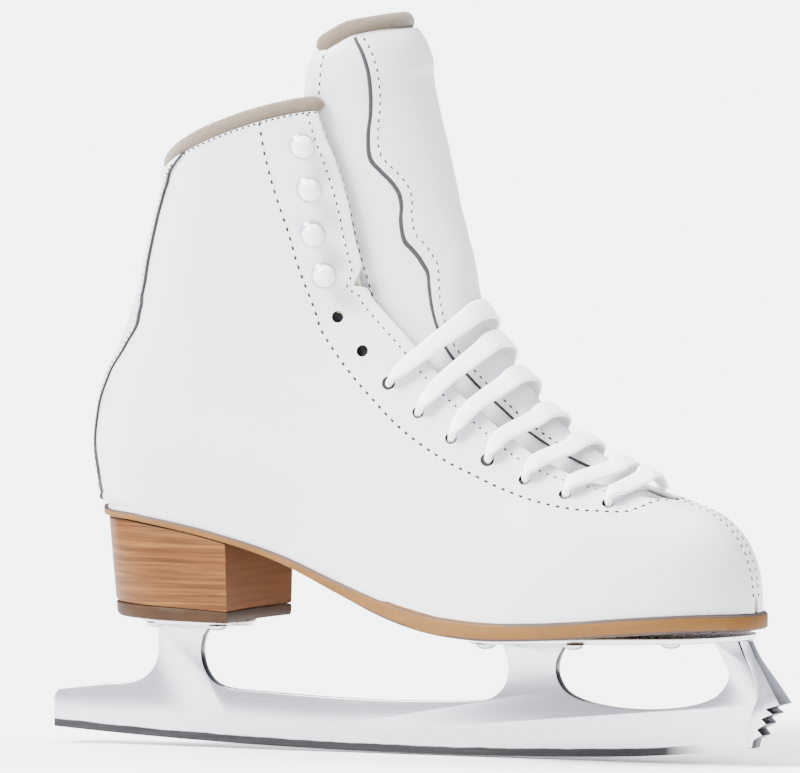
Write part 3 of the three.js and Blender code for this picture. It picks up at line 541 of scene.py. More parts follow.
lace_line = lace_route()
lace, lace_path = flat_tube("lace_band", lace_line, 1.6, LACE_THICK, 16, "boot")
outwards(lace)
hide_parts("lace", "lace_hank_lateral", "lace_hank_medial")
aglet_tips = [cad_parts["aglet_lateral"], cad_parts["aglet_medial"]]
tuple(lace_path[0])
[tuple(p) for p in lace_path]


class Value:
    """A shader value. Adding, multiplying and so on makes the Math nodes."""

    def __init__(self, finish, socket):
        self.finish = finish
        self.socket = socket

    def math(self, operation, first, second):
        return self.finish.node("Math", {"operation": operation}, {0: first, 1: second})

    def __add__(self, other):
        return self.math("ADD", self, other)

    def __sub__(self, other):
        return self.math("SUBTRACT", self, other)

    def __rsub__(self, other):
        return self.math("SUBTRACT", other, self)

    def __mul__(self, other):
        return self.math("MULTIPLY", self, other)

    def __pow__(self, other):
        return self.math("POWER", self, other)

    def __lt__(self, other):
        return self.math("LESS_THAN", self, other)

    __radd__ = __add__
    __rmul__ = __mul__


class Finish:
    """A procedural finish: a principled shader and the nodes that feed it."""

    def __init__(self, name, **constants):
        self.material = bpy.data.materials.new(name)
        self.material.use_nodes = True
        self.tree = self.material.node_tree
        self.shader = self.tree.nodes["Principled BSDF"]
        self.feed(**constants)

    def node(self, kind, settings=None, sockets=None, output=0):
        node = self.tree.nodes.new("ShaderNode" + kind)
        for key, value in (settings or {}).items():
            if key == "stops":
                while len(node.color_ramp.elements) < len(value):
                    node.color_ramp.elements.new(0.5)
                for stop, (at, colour) in zip(node.color_ramp.elements, value):
                    stop.position = at
                    stop.color = colour
            else:
                setattr(node, key, value)
        for key, value in (sockets or {}).items():
            self.join(node.inputs[key], value)
        return Value(self, node.outputs[output])

    def join(self, socket, value):
        if isinstance(value, Value):
            self.tree.links.new(value.socket, socket)
        else:
            socket.default_value = value

    def feed(self, **values):
        for key, value in values.items():
            self.join(self.shader.inputs[key.replace("_", " ").title().replace("Ior", "IOR")], value)

    def place(self):
        """Object coordinates, in metres in the frame."""
        return self.node("TexCoord", output="Object")

    def noise(self, scale, detail=2.0, stretch=None, roughness=0.5):
        where = self.place()
        if stretch is not None:
            where = self.node("Mapping", {}, {"Vector": where, "Scale": stretch})
        return self.node(
            "TexNoise", {}, {"Vector": where, "Scale": scale, "Detail": detail, "Roughness": roughness}
        )

    def blend(self, share, first, second):
        """A colour between two, by share."""
        return self.node("Mix", {"data_type": "RGBA"}, {0: share, 6: first, 7: second}, output=2)

    def bump(self, height, strength, distance):
        normal = self.node(
            "Bump", {}, {"Height": height, "Strength": strength, "Distance": distance}
        )
        self.feed(normal=normal)


def paint(red, green, blue):
    """A linear colour from the values of a paint card, 0 to 255."""
    def linear(value):
        value /= 255
        return value / 12.92 if value <= 0.04045 else ((value + 0.055) / 1.055) ** 2.4
    return linear(red), linear(green), linear(blue), 1.0


def dress(piece, finish, second=None):
    """Gives a piece or a CAD node its finish, and the faces in slot 1 a second one."""
    slots = [polygon.material_index if second else 0 for polygon in piece.data.polygons]
    piece.data.materials.clear()
    piece.data.materials.append(finish.material)
    if second:
        piece.data.materials.append(second.material)
    piece.data.polygons.foreach_set("material_index", slots)
    return piece


def lace_cotton():
    finish = Finish("lace_cotton", roughness=0.85, sheen_weight=0.25, specular_ior_level=0.25)
    weave = finish.node("UVMap", {"uv_map": "weave"})
    u = finish.node("SeparateXYZ", {}, {0: weave}, output=0)
    v = finish.node("SeparateXYZ", {}, {0: weave}, output=1)
    picks_per_metre = 1500
    rib = finish.node("Math", {"operation": "SINE"}, {0: u * (2 * math.pi * picks_per_metre) + v * 75.0})
    cross = finish.node("Math", {"operation": "SINE"}, {0: u * (2 * math.pi * picks_per_metre) - v * 75.0})
    weave_height = rib * 0.5 + cross * 0.5
    fluff = finish.noise(2600, 3)
    finish.bump(weave_height * 0.5 + fluff * 0.5, 0.35, 0.00025)
    finish.feed(base_color=finish.blend(
        weave_height * 0.25 + finish.noise(60) * 0.4, paint(252, 252, 252), paint(232, 232, 236)
    ))
    return finish


dress(lace, lace_cotton())


def aglet_plastic():
    finish = Finish("aglet_plastic", roughness=0.2, coat_weight=0.6)
    finish.feed(base_color=finish.blend(finish.noise(90), paint(244, 244, 242), paint(228, 228, 226)))
    finish.bump(finish.noise(900), 0.05, 0.0002)
    return finish


aglet_finish = aglet_plastic()
for tip in aglet_tips:
    dress(tip, aglet_finish)


# ---- Quarters
# Two halves of smooth white calf leather, 2.2 mm thick, pulled over the last and joined at the toe
# and the heel. The facings are punched for nine eyelets a side, with a notch above the ankle.
LEATHER_THICK = 2.2
HOLE_RADIUS = 2.25
HOLE_FLARE = 0.9
NOTCH_AT = 17.0
NOTCH_DEPTH = 4.8
NOTCH_WIDTH = 0.36


def close_at_ends(count):
    """Shares from 0 to 1 that lie closer together near both ends."""
    return [(1 - math.cos(math.pi * i / count)) / 2 for i in range(count + 1)]


def facing_cut(t):
    """How far behind the plain facing edge the leather is cut back, in millimetres."""
    return NOTCH_DEPTH * math.exp(-(((t - NOTCH_AT) / NOTCH_WIDTH) ** 2))


def rounded_edge(distance, thickness):
    """How far a face stands in from its plane near a rounded edge."""
    radius = thickness / 2
    if distance >= radius:
        return 0.0
    return radius * (1 - math.sqrt(1 - (1 - max(0.0, distance) / radius) ** 2))


def shell_faces(rows_count, columns):
    """Faces of the closed body between two grids, and the number of them on the two grids."""
    size = rows_count * columns
    faces, rim = [], []
    for i in range(rows_count - 1):
        for j in range(columns - 1):
            a = i * columns + j
            faces.append((a, a + columns, a + columns + 1, a + 1))
            faces.append((size + a, size + a + 1, size + a + columns + 1, size + a + columns))
    rim += [i * columns for i in range(rows_count - 1)]
    rim += [(rows_count - 1) * columns + j for j in range(columns - 1)]
    rim += [i * columns + columns - 1 for i in range(rows_count - 1, 0, -1)]
    rim += list(range(columns - 1, 0, -1))
    on_grids = len(faces)
    for here, ahead in zip(rim, rim[1:] + rim[:1]):
        faces.append((here, size + here, size + ahead, ahead))
    return faces, on_grids


def shell_piece(name, outer, inner, body, inked=0):
    """The closed body between two grids of points of the last.

    Its rim faces are in slot 1, and so are this many columns of the outer face along each side.
    """
    faces, on_grids = shell_faces(len(outer), len(outer[0]))
    points = [placed(p) for grid in (outer, inner) for row in grid for p in row]
    piece = new_object(name, points, faces, body)
    across = len(outer[0]) - 1
    for polygon in piece.data.polygons:
        column = polygon.index // 2 % across
        by_the_side = polygon.index % 2 == 0 and min(column, across - 1 - column) < inked
        polygon.material_index = int(polygon.index >= on_grids or by_the_side)
    return piece


def quarter_rows():
    return steps(0, 5, 50)[:-1] + steps(5, COLLAR, 230)


def quarter_skin(side):
    shares = close_at_ends(60)
    outer, inner = [], []
    for t in quarter_rows():
        length = station(t)[3]
        top = facing(t) - facing_cut(t) / length
        outer_row, inner_row = [], []
        for share in shares:
            round_in = rounded_edge((1 - share) * top * length, LEATHER_THICK) if t > 5.6 else 0.0
            outer_row.append(upper(t, top * share, side, round_in))
            inner_row.append(upper(t, top * share, side, LEATHER_THICK - round_in))
        outer.append(outer_row)
        inner.append(inner_row)
    return outer, inner


def only(piece):
    """Makes a piece the one selected and active object."""
    bpy.ops.object.select_all(action="DESELECT")
    piece.select_set(True)
    bpy.context.view_layer.objects.active = piece


def work(piece, kind, **settings):
    """Adds a modifier and applies it."""
    only(piece)
    modifier = piece.modifiers.new(kind.lower(), kind)
    for key, value in settings.items():
        setattr(modifier, key, value)
    bpy.ops.object.modifier_apply(modifier=modifier.name)


def punch(side):
    """The nine eyelet punches of one side: straight shanks that flare where they meet the leather."""
    punches = []
    for t in rows[:EYELET_ROWS]:
        v = eyelet_share(t)
        normal = upper_normal(t, v, side)
        turn = normal.to_track_quat("Z", "Y")
        centre = upper(t, v, side, 0)
        bpy.ops.mesh.primitive_cylinder_add(
            vertices=28, radius=HOLE_RADIUS * MM, depth=14 * MM, location=placed(centre),
            rotation=turn.to_euler(),
        )
        punches.append(bpy.context.object)
        bpy.ops.mesh.primitive_cone_add(
            vertices=28, radius1=(HOLE_RADIUS - 0.1) * MM, radius2=(HOLE_RADIUS + HOLE_FLARE + 0.6) * MM,
            depth=1.5 * MM, location=placed(centre + normal * 0.3), rotation=turn.to_euler(),
        )
        punches.append(bpy.context.object)
    bpy.ops.object.select_all(action="DESELECT")
    for tool in punches:
        tool.select_set(True)
    bpy.context.view_layer.objects.active = punches[0]
    bpy.ops.object.join()
    return bpy.context.object


def white_leather(name="white_leather", tone=(216, 216, 218), shade=(204, 204, 209)):
    finish = Finish(name, specular_ior_level=0.45, coat_roughness=0.25)
    grain = finish.node(
        "TexVoronoi", {"feature": "SMOOTH_F1"}, {"Vector": finish.place(), "Scale": 950.0}
    )
    fine = finish.noise(2400, 3)
    cloud = finish.noise(14, 3)
    finish.bump(grain * 0.6 + fine * 0.4, 0.12, 0.0002)
    finish.feed(
        base_color=finish.blend(cloud, paint(*tone), paint(*shade)),
        roughness=0.3 + 0.14 * finish.noise(35, 3),
        coat_weight=0.08 + 0.08 * cloud,
    )
    return finish


# Near black: painted shade in the punched holes and in the eyelet barrels and caps behind them.
def hole_painted_shade():
    finish = Finish("hole_painted_shade", roughness=0.8)
    finish.feed(base_color=finish.blend(finish.noise(500), paint(8, 8, 9), paint(24, 24, 26)))
    return finish


leather = white_leather()
hole_shade = hole_painted_shade()
for label, side in (("lateral", LATERAL), ("medial", MEDIAL)):
    quarter = shell_piece("quarter_leather_" + label, *quarter_skin(side), "boot")
    outwards(quarter)
    for polygon in quarter.data.polygons:
        polygon.material_index = 0
    dress(quarter, leather, hole_shade)
    tool = punch(side)
    # The punches carry the near-black painted shade onto the walls of the holes they cut.
    tool.data.materials.append(hole_shade.material)
    work(quarter, "BOOLEAN", operation="DIFFERENCE", solver="EXACT", material_mode="TRANSFER", object=tool)
    bpy.data.objects.remove(tool)
    softly(quarter, 50)
    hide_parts("quarter_" + label)


# ---- Eyelet barrels
# A short tube behind each punched hole, through the facing stay to the inside, near black as painted shade.
# Behind the two that no lace goes through a cap of the same painted shade hides the lining, so the holes look
# deep.
OPEN_BARREL = ((2.62, 0.7), (2.62, 8.2), (2.05, 8.2), (2.05, 0.7), (2.62, 0.7))
CAPPED_BARREL = ((0, 2.7), (2.62, 2.7), (2.62, 0.7), (2.05, 0.7), (2.05, 2.2), (0, 2.2))
LACED_ROWS = 7


def barrel(name, t, side, section):
    """A tube turned round an eyelet's axis from its section of radii and depths."""
    v = eyelet_share(t)
    centre, out = upper(t, v, side, 0), upper_normal(t, v, side)
    aside = out.orthogonal().normalized()
    beyond = out.cross(aside)
    sides, corners = 24, len(section)
    vertices, faces = [], []
    for k in range(sides):
        angle = 2 * math.pi * k / sides
        spread = aside * math.cos(angle) + beyond * math.sin(angle)
        vertices += [placed(centre + spread * radius - out * depth) for radius, depth in section]
        here, beside = corners * k, corners * ((k + 1) % sides)
        for corner in range(corners - 1):
            faces.append((here + corner, here + corner + 1, beside + corner + 1, beside + corner))
    return softly(outwards(new_object(name, vertices, faces, "boot")), 60)


for label, side in (("lateral", LATERAL), ("medial", MEDIAL)):
    for number, t in enumerate(rows[:EYELET_ROWS], 1):
        section = OPEN_BARREL if number <= LACED_ROWS else CAPPED_BARREL
        dress(barrel("eyelet_barrel_%s_%d" % (label, number), t, side, section), hole_shade)


# ---- Backstay
# A strip of the same leather sewn over the seam at the back, from the heel seat to the collar.
# Its cut edge is left dark and stands 1.2 mm proud, and it is wider over the tendon and at the top.
BACKSTAY_PROUD = 1.2
BACKSTAY_WIDTH = (                # station, half width round the back
    (16.2, 22.0), (16.9, 18.5), (17.6, 17.0), (18.4, 22.5), (18.9, 28.5), (19.4, 34.5), (19.8, 37.5),
    (20.3, 34.5), (20.8, 31.0), (21.6, 29.0), (22.6, 28.5), (23.1, 29.5), (23.5, 32.0), (24.0, 41.0),
)


def read_at(table, at):
    """A value between the rows of a table of (place, value), eased from row to row."""
    for (a, low), (b, high) in zip(table, table[1:]):
        if at <= b:
            return mix(low, high, ramp((at - a) / (b - a)))
    return table[-1][1]


def back_point(t, arc, depth):
    """Point of the back, an arc length round from its middle; negative arcs are lateral."""
    side = LATERAL if arc < 0 else MEDIAL
    from_back = HEEL_ROUNDING * (1 - math.cos(min(abs(arc) / HEEL_ROUNDING, math.pi / 2)))
    from_back += max(0.0, abs(arc) - HEEL_ROUNDING * math.pi / 2)
    return upper(t, from_back / station(t)[3], side, depth)


def backstay_skin():
    outer, inner = [], []
    for t in steps(HEEL_SEAT + 0.15, COLLAR, 160):
        half = read_at(BACKSTAY_WIDTH, t)
        arcs = [half * (2 * share - 1) for share in close_at_ends(36)]
        outer.append([back_point(t, arc, -BACKSTAY_PROUD) for arc in arcs])
        inner.append([back_point(t, arc, 0.1) for arc in arcs])
    return outer, inner


def leather_edge():
    finish = Finish("dark_cut_edge", roughness=0.75)
    finish.feed(base_color=finish.blend(finish.noise(500, 3), paint(16, 16, 18), paint(44, 43, 46)))
    finish.bump(finish.noise(1500, 3), 0.3, 0.0002)
    return finish


cut_edge = leather_edge()
backstay = shell_piece("backstay_leather", *backstay_skin(), "boot", inked=3)
outwards(backstay)
softly(backstay, 50)
dress(backstay, leather, cut_edge)
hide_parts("backstay")


# ---- Stitching
# White waxed thread in rows of needle holes, each a small dark disc of painted shade: along the facing
# edges, round the facings to the end of the throat, under the collar, over the toe and along the backstay.
STITCH_PITCH = 3.7
THREAD_RADIUS = 0.3
NEEDLE_RADIUS = 0.5


def thread_finish():
    finish = Finish("waxed_thread", roughness=0.6)
    finish.feed(base_color=finish.blend(finish.noise(1800), paint(250, 250, 250), paint(226, 226, 228)))
    finish.bump(finish.noise(4000), 0.2, 0.0001)
    return finish


# Near black: painted shade in the needle holes.
def needle_shade_finish():
    finish = Finish("needle_hole_shade", roughness=0.9)
    finish.feed(base_color=finish.blend(finish.noise(900), paint(14, 14, 16), paint(40, 40, 44)))
    return finish


thread = thread_finish()
needle_shade = needle_shade_finish()


def seam(name, line, body="boot", pitch=STITCH_PITCH, size=1.0):
    """A row of stitches along a line of (point, normal) pairs, given in millimetres."""
    far = [0.0]
    for (a, _), (b, _) in zip(line, line[1:]):
        far.append(far[-1] + (b - a).length)
    count = max(1, round(far[-1] / pitch))
    places, j = [], 0
    for want in steps(0, far[-1], count):
        while j < len(far) - 2 and far[j + 1] < want:
            j += 1
        share = min(1.0, (want - far[j]) / max(1e-9, far[j + 1] - far[j]))
        on_line = line[j][0].lerp(line[j + 1][0], share)
        upwards = line[j][1].lerp(line[j + 1][1], share).normalized()
        places.append((on_line, upwards))
    vertices, faces, slots = [], [], []
    for (a, up), (b, _) in zip(places, places[1:]):
        ahead = (b - a).normalized()
        aside = up.cross(ahead).normalized()
        length = (b - a).length
        rings = (
            (0.2, 0.25, -0.25),
            (0.27, 0.8, -0.02),
            (0.5, 1.0, 0.08),
            (0.73, 0.8, -0.02),
            (0.8, 0.25, -0.25),
        )
        first = len(vertices)
        for share, girth, lift in rings:
            middle = a + ahead * (length * share) + up * lift
            for k in range(6):
                angle = math.pi * k / 3
                spread = aside * math.cos(angle) + up * math.sin(angle)
                vertices.append(placed(middle + spread * THREAD_RADIUS * girth))
        for ring in range(len(rings) - 1):
            for k in range(6):
                here, beside = first + ring * 6 + k, first + ring * 6 + (k + 1) % 6
                faces.append((here, beside, beside + 6, here + 6))
        faces.append(tuple(range(first + 5, first - 1, -1)))
        faces.append(tuple(range(first + 24, first + 30)))
        slots += [0] * 26
    # A small flat disc at each needle hole, in slot 1, for the painted shade of the hole.
    for (point, up), (near, _) in zip(places, places[1:] + places[-2:-1]):
        ahead = (near - point).normalized()
        aside = up.cross(ahead).normalized()
        first = len(vertices)
        for lift, narrow in ((0.06, 1.0), (-0.3, 0.8)):
            for k in range(8):
                angle = math.pi * k / 4
                across = aside * math.cos(angle) + ahead * (1.7 * math.sin(angle))
                vertices.append(placed(point + up * lift + across * NEEDLE_RADIUS * size * narrow))
        for k in range(8):
            here, beside = first + k, first + (k + 1) % 8
            faces.append((here, beside, beside + 8, here + 8))
        faces.append(tuple(range(first + 7, first - 1, -1)))
        faces.append(tuple(range(first + 8, first + 16)))
        slots += [1] * 10
    piece = new_object(name, vertices, faces, body)
    for polygon, slot in zip(piece.data.polygons, slots):
        polygon.material_index = slot
    outwards(piece)
    softly(piece, 60)
    dress(piece, thread, needle_shade)
    return piece


def on_upper(side, path):
    """(point, normal) pairs on one side of the boot from (station, setback) pairs."""
    line = []
    for t, setback in path:
        v = min(behind_facing(t, setback), 0.9985)
        line.append((upper(t, v, side, 0), upper_normal(t, v, side)))
    return line


FACING_SEAM = (                   # station, setback of the seam that runs round the facing
    (5.45, 0.3), (5.65, 1.2), (5.87, 3.9), (6.13, 6.3), (6.68, 8.6), (7.09, 10.4), (8.2, 14.2), (9.59, 19.0),
    (10.57, 22.3), (11.78, 24.0), (13.75, 24.4), (16.55, 22.6), (19.3, 24.4), (21.9, 25.6), (23.85, 23.5),
)
EDGE_SEAM_SETBACK = 4.6


def facing_seam_path():
    dense = []
    for i in range(len(FACING_SEAM) - 1):
        dense += [tuple(smooth_between(FACING_SEAM, i + k / 12)) for k in range(12)]
    return dense + [FACING_SEAM[-1]]


def edge_seam_path():
    path = []
    for t in steps(6.35, 23.8, 240):
        closing = ramp((t - 6.2) / 3)
        path.append((t, mix(1.6, EDGE_SEAM_SETBACK, closing) + 0.8 * facing_cut(t)))
    return path


def toe_seam(side):
    line = []
    for t in steps(0.35, 5.3, 60):
        row = station(t)[0]
        half = mix(row[EDGE], row[GIRTH], 1.0)
        v = (1 - min(0.95, 2.3 / max(2.35, half)) ** 2) ** (1 / row[ROUND])
        line.append((upper(t, v, side, 0), upper_normal(t, v, side)))
    return line


def collar_seam(side):
    line = []
    for share in steps(0.02, 0.985, 70):
        t = COLLAR - 0.09
        v = facing(t) * share
        line.append((upper(t, v, side, 0), upper_normal(t, max(0.01, v), side)))
    return line


def backstay_seam(side):
    line = []
    for t in steps(16.5, 23.75, 110):
        arc = side * (read_at(BACKSTAY_WIDTH, t) - 2.4)
        here = back_point(t, arc, -BACKSTAY_PROUD)
        line.append((here, (here - back_point(t, arc, 2)).normalized()))
    return line


for label, side in (("lateral", LATERAL), ("medial", MEDIAL)):
    seam("facing_seam_" + label, on_upper(side, facing_seam_path()))
    seam("edge_seam_" + label, on_upper(side, edge_seam_path()), pitch=3.2, size=0.72)
    seam("toe_seam_" + label, toe_seam(side), pitch=3.2)
    seam("collar_seam_" + label, collar_seam(side), pitch=2.4, size=0.72)
    seam("backstay_seam_" + label, backstay_seam(side), pitch=2.6)


# ---- Lining
# A soft beige textile over thin foam inside the shaft and the vamp, sewn in at the collar and
# at the back of the facings.
LINING_DEPTH = (2.7, 7.1)


def lining_skin(side):
    outer, inner = [], []
    shares = close_at_ends(30)
    for t in steps(3, COLLAR, 110):
        top = 1.0 if t < 6 else behind_facing(t, 20.5)
        outer.append([upper(t, mix(0.004, top, share), side, LINING_DEPTH[0]) for share in shares])
        inner.append([upper(t, mix(0.004, top, share), side, LINING_DEPTH[1]) for share in shares])
    return outer, inner


def woven(name, light, dark, thread_pitch=0.0009, roughness=0.9):
    """A fine plain weave in two tones of one colour."""
    finish = Finish(name, roughness=roughness, sheen_weight=0.3, specular_ior_level=0.2)
    place = finish.place()
    per_metre = 2 * math.pi / thread_pitch
    x, y, z = (finish.node("SeparateXYZ", {}, {0: place}, output=k) for k in range(3))
    warp = finish.node("Math", {"operation": "SINE"}, {0: (x + y) * per_metre})
    weft = finish.node("Math", {"operation": "SINE"}, {0: (z * 1.1 + x * 0.35) * per_metre})
    weave = warp * weft
    fluff = finish.noise(1100, 4)
    cloud = finish.noise(40, 3)
    finish.bump(weave * 0.5 + fluff, 0.6, 0.0004)
    shade = weave * 0.25 + cloud * 0.4 + fluff * 0.6 - 0.05
    finish.feed(base_color=finish.blend(shade, paint(*light), paint(*dark)))
    return finish


lining_cloth = woven("lining_fabric", (186, 170, 154), (150, 134, 118), 0.0012)
for label, side in (("lateral", LATERAL), ("medial", MEDIAL)):
    lining = shell_piece("lining_cloth_" + label, *lining_skin(side), "boot")
    outwards(lining)
    softly(lining, 50)
    dress(lining, lining_cloth)
    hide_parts("lining_" + label)
dress(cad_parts["footbed"], woven("footbed_fabric", (222, 214, 203), (196, 186, 172), 0.0015))


def raw_board(name, light, dark):
    finish = Finish(name, roughness=0.85)
    streak = finish.noise(60, 4, stretch=(1, 6, 14))
    finish.feed(base_color=finish.blend(streak, paint(*light), paint(*dark)))
    finish.bump(finish.noise(900, 3), 0.25, 0.0003)
    return finish


stiffener = raw_board("stiffener_board", (214, 202, 184), (186, 170, 148))
for node in ("facing_stay", "heel_counter", "toe_box"):
    for label in ("lateral", "medial"):
        dress(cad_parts[node + "_" + label], stiffener)
dress(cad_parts["insole_board"], raw_board("insole_board", (196, 170, 130), (160, 132, 96)))


# ---- Collar binding
# A soft beige textile roll over foam along the top of the collar, round the back from facing to
# facing, turned down at its ends.
BINDING_HALF = (3.1, 3.3)         # half thickness across the leather, half height


def roll(name, centres, outs, halves, body, sides=20, puckers=0.0):
    """A padded roll through its centres; outs point across its thickness. Its ends are rounded."""
    vertices, faces = [], []
    total = len(centres)
    for i, (centre, out) in enumerate(zip(centres, outs)):
        ahead = (centres[min(i + 1, total - 1)] - centres[max(i - 1, 0)]).normalized()
        out = (out - ahead * out.dot(ahead)).normalized()
        up = ahead.cross(out).normalized()
        if up.z < 0:
            up.negate()
        from_end = min(i, total - 1 - i)
        close = math.sqrt(1 - (1 - from_end / 5) ** 2) if from_end < 5 else 1.0
        close = max(close, 0.12) * (1 + puckers * math.sin(i * 2.1))
        for k in range(sides):
            angle = 2 * math.pi * k / sides
            offset = out * (halves[0] * math.cos(angle)) + up * (halves[1] * math.sin(angle))
            vertices.append(placed(centre + offset * close))
    for i in range(total - 1):
        for k in range(sides):
            a, b = i * sides + k, i * sides + (k + 1) % sides
            faces.append((a, b, b + sides, a + sides))
    faces.append(tuple(reversed(range(sides))))
    faces.append(tuple(range(len(vertices) - sides, len(vertices))))
    piece = new_object(name, vertices, faces, body)
    outwards(piece)
    return softly(piece, 60)


def collar_line():
    centres, outs = [], []
    shares = [k / 90 for k in range(1, 91)]
    for side, order in ((LATERAL, reversed(shares)), (MEDIAL, shares)):
        for share in order:
            v = facing(COLLAR) * math.sin(share * 0.985 * math.pi / 2)
            middle = upper(COLLAR, v, side, 3.3)
            end = ramp((share - 0.93) / 0.07)
            centres.append(middle + Vector((-0.25 + 1.6 * end, 0, 2.9 - 2.2 * end)))
            outs.append(upper(COLLAR, v, side, -1) - upper(COLLAR, v, side, 4))
    return centres, outs


binding_cloth = woven("beige_binding", (124, 110, 94), (76, 64, 52), 0.0011)
collar = roll("collar_roll", *collar_line(), BINDING_HALF, "boot", puckers=0.012)
dress(collar, binding_cloth)
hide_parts("collar_binding")


# ---- Tongue
# A padded leather tongue, soft enough to fold forward at the ankle, with a wavy-edged leather
# panel sewn along its middle and a beige textile roll over its top edge.
TONGUE_START = 6.35
TONGUE_THICK = 5
TONGUE_ROWS = steps(TONGUE_START, 12, 50)[:-1] + steps(12, TONGUE_TOP, 130)
FOLD_START, FOLD_END = 12.9, 15.4


def tongue_puff(t, degrees):
    """How far the foam stands out: most halfway to each edge, and less where the panel holds it."""
    side = math.sin(math.radians(min(90, abs(degrees)) * 2)) ** 2
    return 0.9 * side * ramp((t - 13) / 4)


def tongue_skin():
    outer, inner = [], []
    shares = close_at_ends(56)
    for t in TONGUE_ROWS:
        half = tongue_row(t)[4]
        top = ramp((TONGUE_TOP - t) / 0.5)
        thick = TONGUE_THICK * (0.45 + 0.55 * top)
        outer_row, inner_row = [], []
        for share in shares:
            degrees = 180 * share - 90
            near_edge = (90 - abs(degrees)) / 90 * half * 1.5
            round_in = rounded_edge(near_edge, thick) if near_edge < thick / 2 else 0.0
            outer_row.append(tongue(t, degrees, tongue_puff(t, degrees) - round_in))
            inner_row.append(tongue(t, degrees, -thick + round_in))
        outer.append(outer_row)
        inner.append(inner_row)
    return outer, inner


def fold(piece):
    """Bakes a piece of the tongue's placement into its mesh."""
    tuple(placed(tongue(FOLD_START, 0, 0)))
    tuple(placed(tongue(FOLD_END, 0, 0)))
    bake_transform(piece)
    return piece


def free_piece(piece):
    """Takes a piece off its body."""
    piece.parent = None
    return piece


tongue_leather = white_leather("tongue_leather", (214, 214, 216), (202, 202, 207))
tongue_piece = free_piece(shell_piece("tongue_padded", *tongue_skin(), "boot"))
outwards(tongue_piece)
softly(tongue_piece, 60)
dress(tongue_piece, tongue_leather)
fold(tongue_piece)
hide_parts("tongue_lower", "tongue_upper")

PANEL_EDGE = (                    # station, degrees from the crown to the panel's wavy edge
    (7.0, 38), (8.5, 46), (9.4, 52), (10.4, 57), (12.0, 59), (13.0, 58), (13.8, 55), (14.7, 51), (15.4, 48.5),
    (16.3, 50), (17.0, 53), (17.7, 56), (18.6, 55), (19.2, 52.5), (19.8, 52.5), (20.4, 55.5), (21.0, 60),
    (21.5, 63), (22.3, 60), (23.1, 55), (24.0, 52), (25.1, 53.5), (26.0, 56.5), (26.9, 64),
)
PANEL_TOP = 26.75


def panel_half(t):
    """Half the panel's width in degrees at a station."""
    for i in range(len(PANEL_EDGE) - 1):
        (a, _), (b, _) = PANEL_EDGE[i], PANEL_EDGE[i + 1]
        if t <= b:
            return smooth_between([(w,) for _, w in PANEL_EDGE], i + max(0.0, (t - a) / (b - a)))[0]
    return PANEL_EDGE[-1][1]


def panel_skin():
    outer, inner = [], []
    for t in steps(TONGUE_START + 0.65, PANEL_TOP, 230):
        half = panel_half(t)
        outer_row, inner_row = [], []
        for share in close_at_ends(40):
            degrees = half * (2 * share - 1)
            base = tongue_puff(t, degrees)
            outer_row.append(tongue(t, degrees, base + 1.25))
            inner_row.append(tongue(t, degrees, base - 0.3))
        outer.append(outer_row)
        inner.append(inner_row)
    return outer, inner


panel = free_piece(shell_piece("tongue_centre_panel", *panel_skin(), "boot", inked=3))
outwards(panel)
softly(panel, 50)
dress(panel, tongue_leather, cut_edge)
fold(panel)
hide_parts("tongue_panel_lower", "tongue_panel_upper")


def gusset_skin():
    """The tongue's root, sewn under the vamp, which closes the end of the throat."""
    outer, inner = [], []
    for t in steps(4.7, 7.6, 40):
        reach = 13 / station(t)[3]
        outer_row, inner_row = [], []
        for across in steps(-1, 1, 32):
            side = LATERAL if across < 0 else MEDIAL
            outer_row.append(upper(t, 1 - abs(across) * reach, side, 3.3, gap=0))
            inner_row.append(upper(t, 1 - abs(across) * reach, side, 4.9, gap=0))
        outer.append(outer_row)
        inner.append(inner_row)
    return outer, inner


gusset = shell_piece("tongue_root", *gusset_skin(), "boot")
outwards(gusset)
softly(gusset, 50)
dress(gusset, tongue_leather)


def on_tongue(path, lift):
    line = []
    for t, degrees in path:
        here = tongue(t, degrees, lift + tongue_puff(t, degrees))
        line.append((here, (here - tongue(t, degrees, lift - 2)).normalized()))
    return line


for label, side in (("lateral", LATERAL), ("medial", MEDIAL)):
    inside_edge = [
        (t, side * (panel_half(t) - math.degrees(2.6 / max(14, tongue_row(t)[4]))))
        for t in steps(8, 26.5, 300)
    ]
    fold(free_piece(seam("panel_seam_" + label, on_tongue(inside_edge, 1.25), pitch=3.2)))
    near_rim = [(t, side * 80) for t in steps(9, 26.4, 160)]
    fold(free_piece(seam("rim_seam_" + label, on_tongue(near_rim, 0), pitch=3.4)))


def tongue_roll_line():
    centres, outs = [], []
    for degrees in steps(-88, 88, 100):
        drop = 5.5 * ramp((abs(degrees) - 62) / 26)
        base = tongue(TONGUE_TOP - 0.12 * drop, degrees, -1.6)
        centres.append(base + Vector((-0.3, 0, 2.1)))
        outs.append(base - tongue(TONGUE_TOP - 0.12 * drop, degrees, -4))
    return centres, outs


tongue_roll = roll("tongue_roll", *tongue_roll_line(), (2.9, 3.6), "tongue", puckers=0.012)
dress(tongue_roll, binding_cloth)
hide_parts("tongue_binding")


# ---- Outsole
# Tan leather sole, thin at the waist and thicker under the ball of the foot, with a dark line of
# painted shade on the bevels where it meets the upper and the heel.
SOLE_MARGIN = 1.4
GAP = 0.15


def footprint(stations, margin):
    """Outline of the sole from toe to heel, grown by a margin: x, half width and middle."""
    middle = LAST[0][SOLE_X] / 2
    rows_found = []
    for t in stations:
        row, sole, _, _ = station(t)
        outer = upper(t, 0, MEDIAL, 0).y - sway(sole.x)
        x = middle + (sole.x - middle) * (1 + margin / middle)
        rows_found.append((x, outer * (row[EDGE] + margin) / row[EDGE]))
    return rows_found


def outsole_thickness(x):
    return 2.6 + 3.9 * ramp((x - 65) / 85)


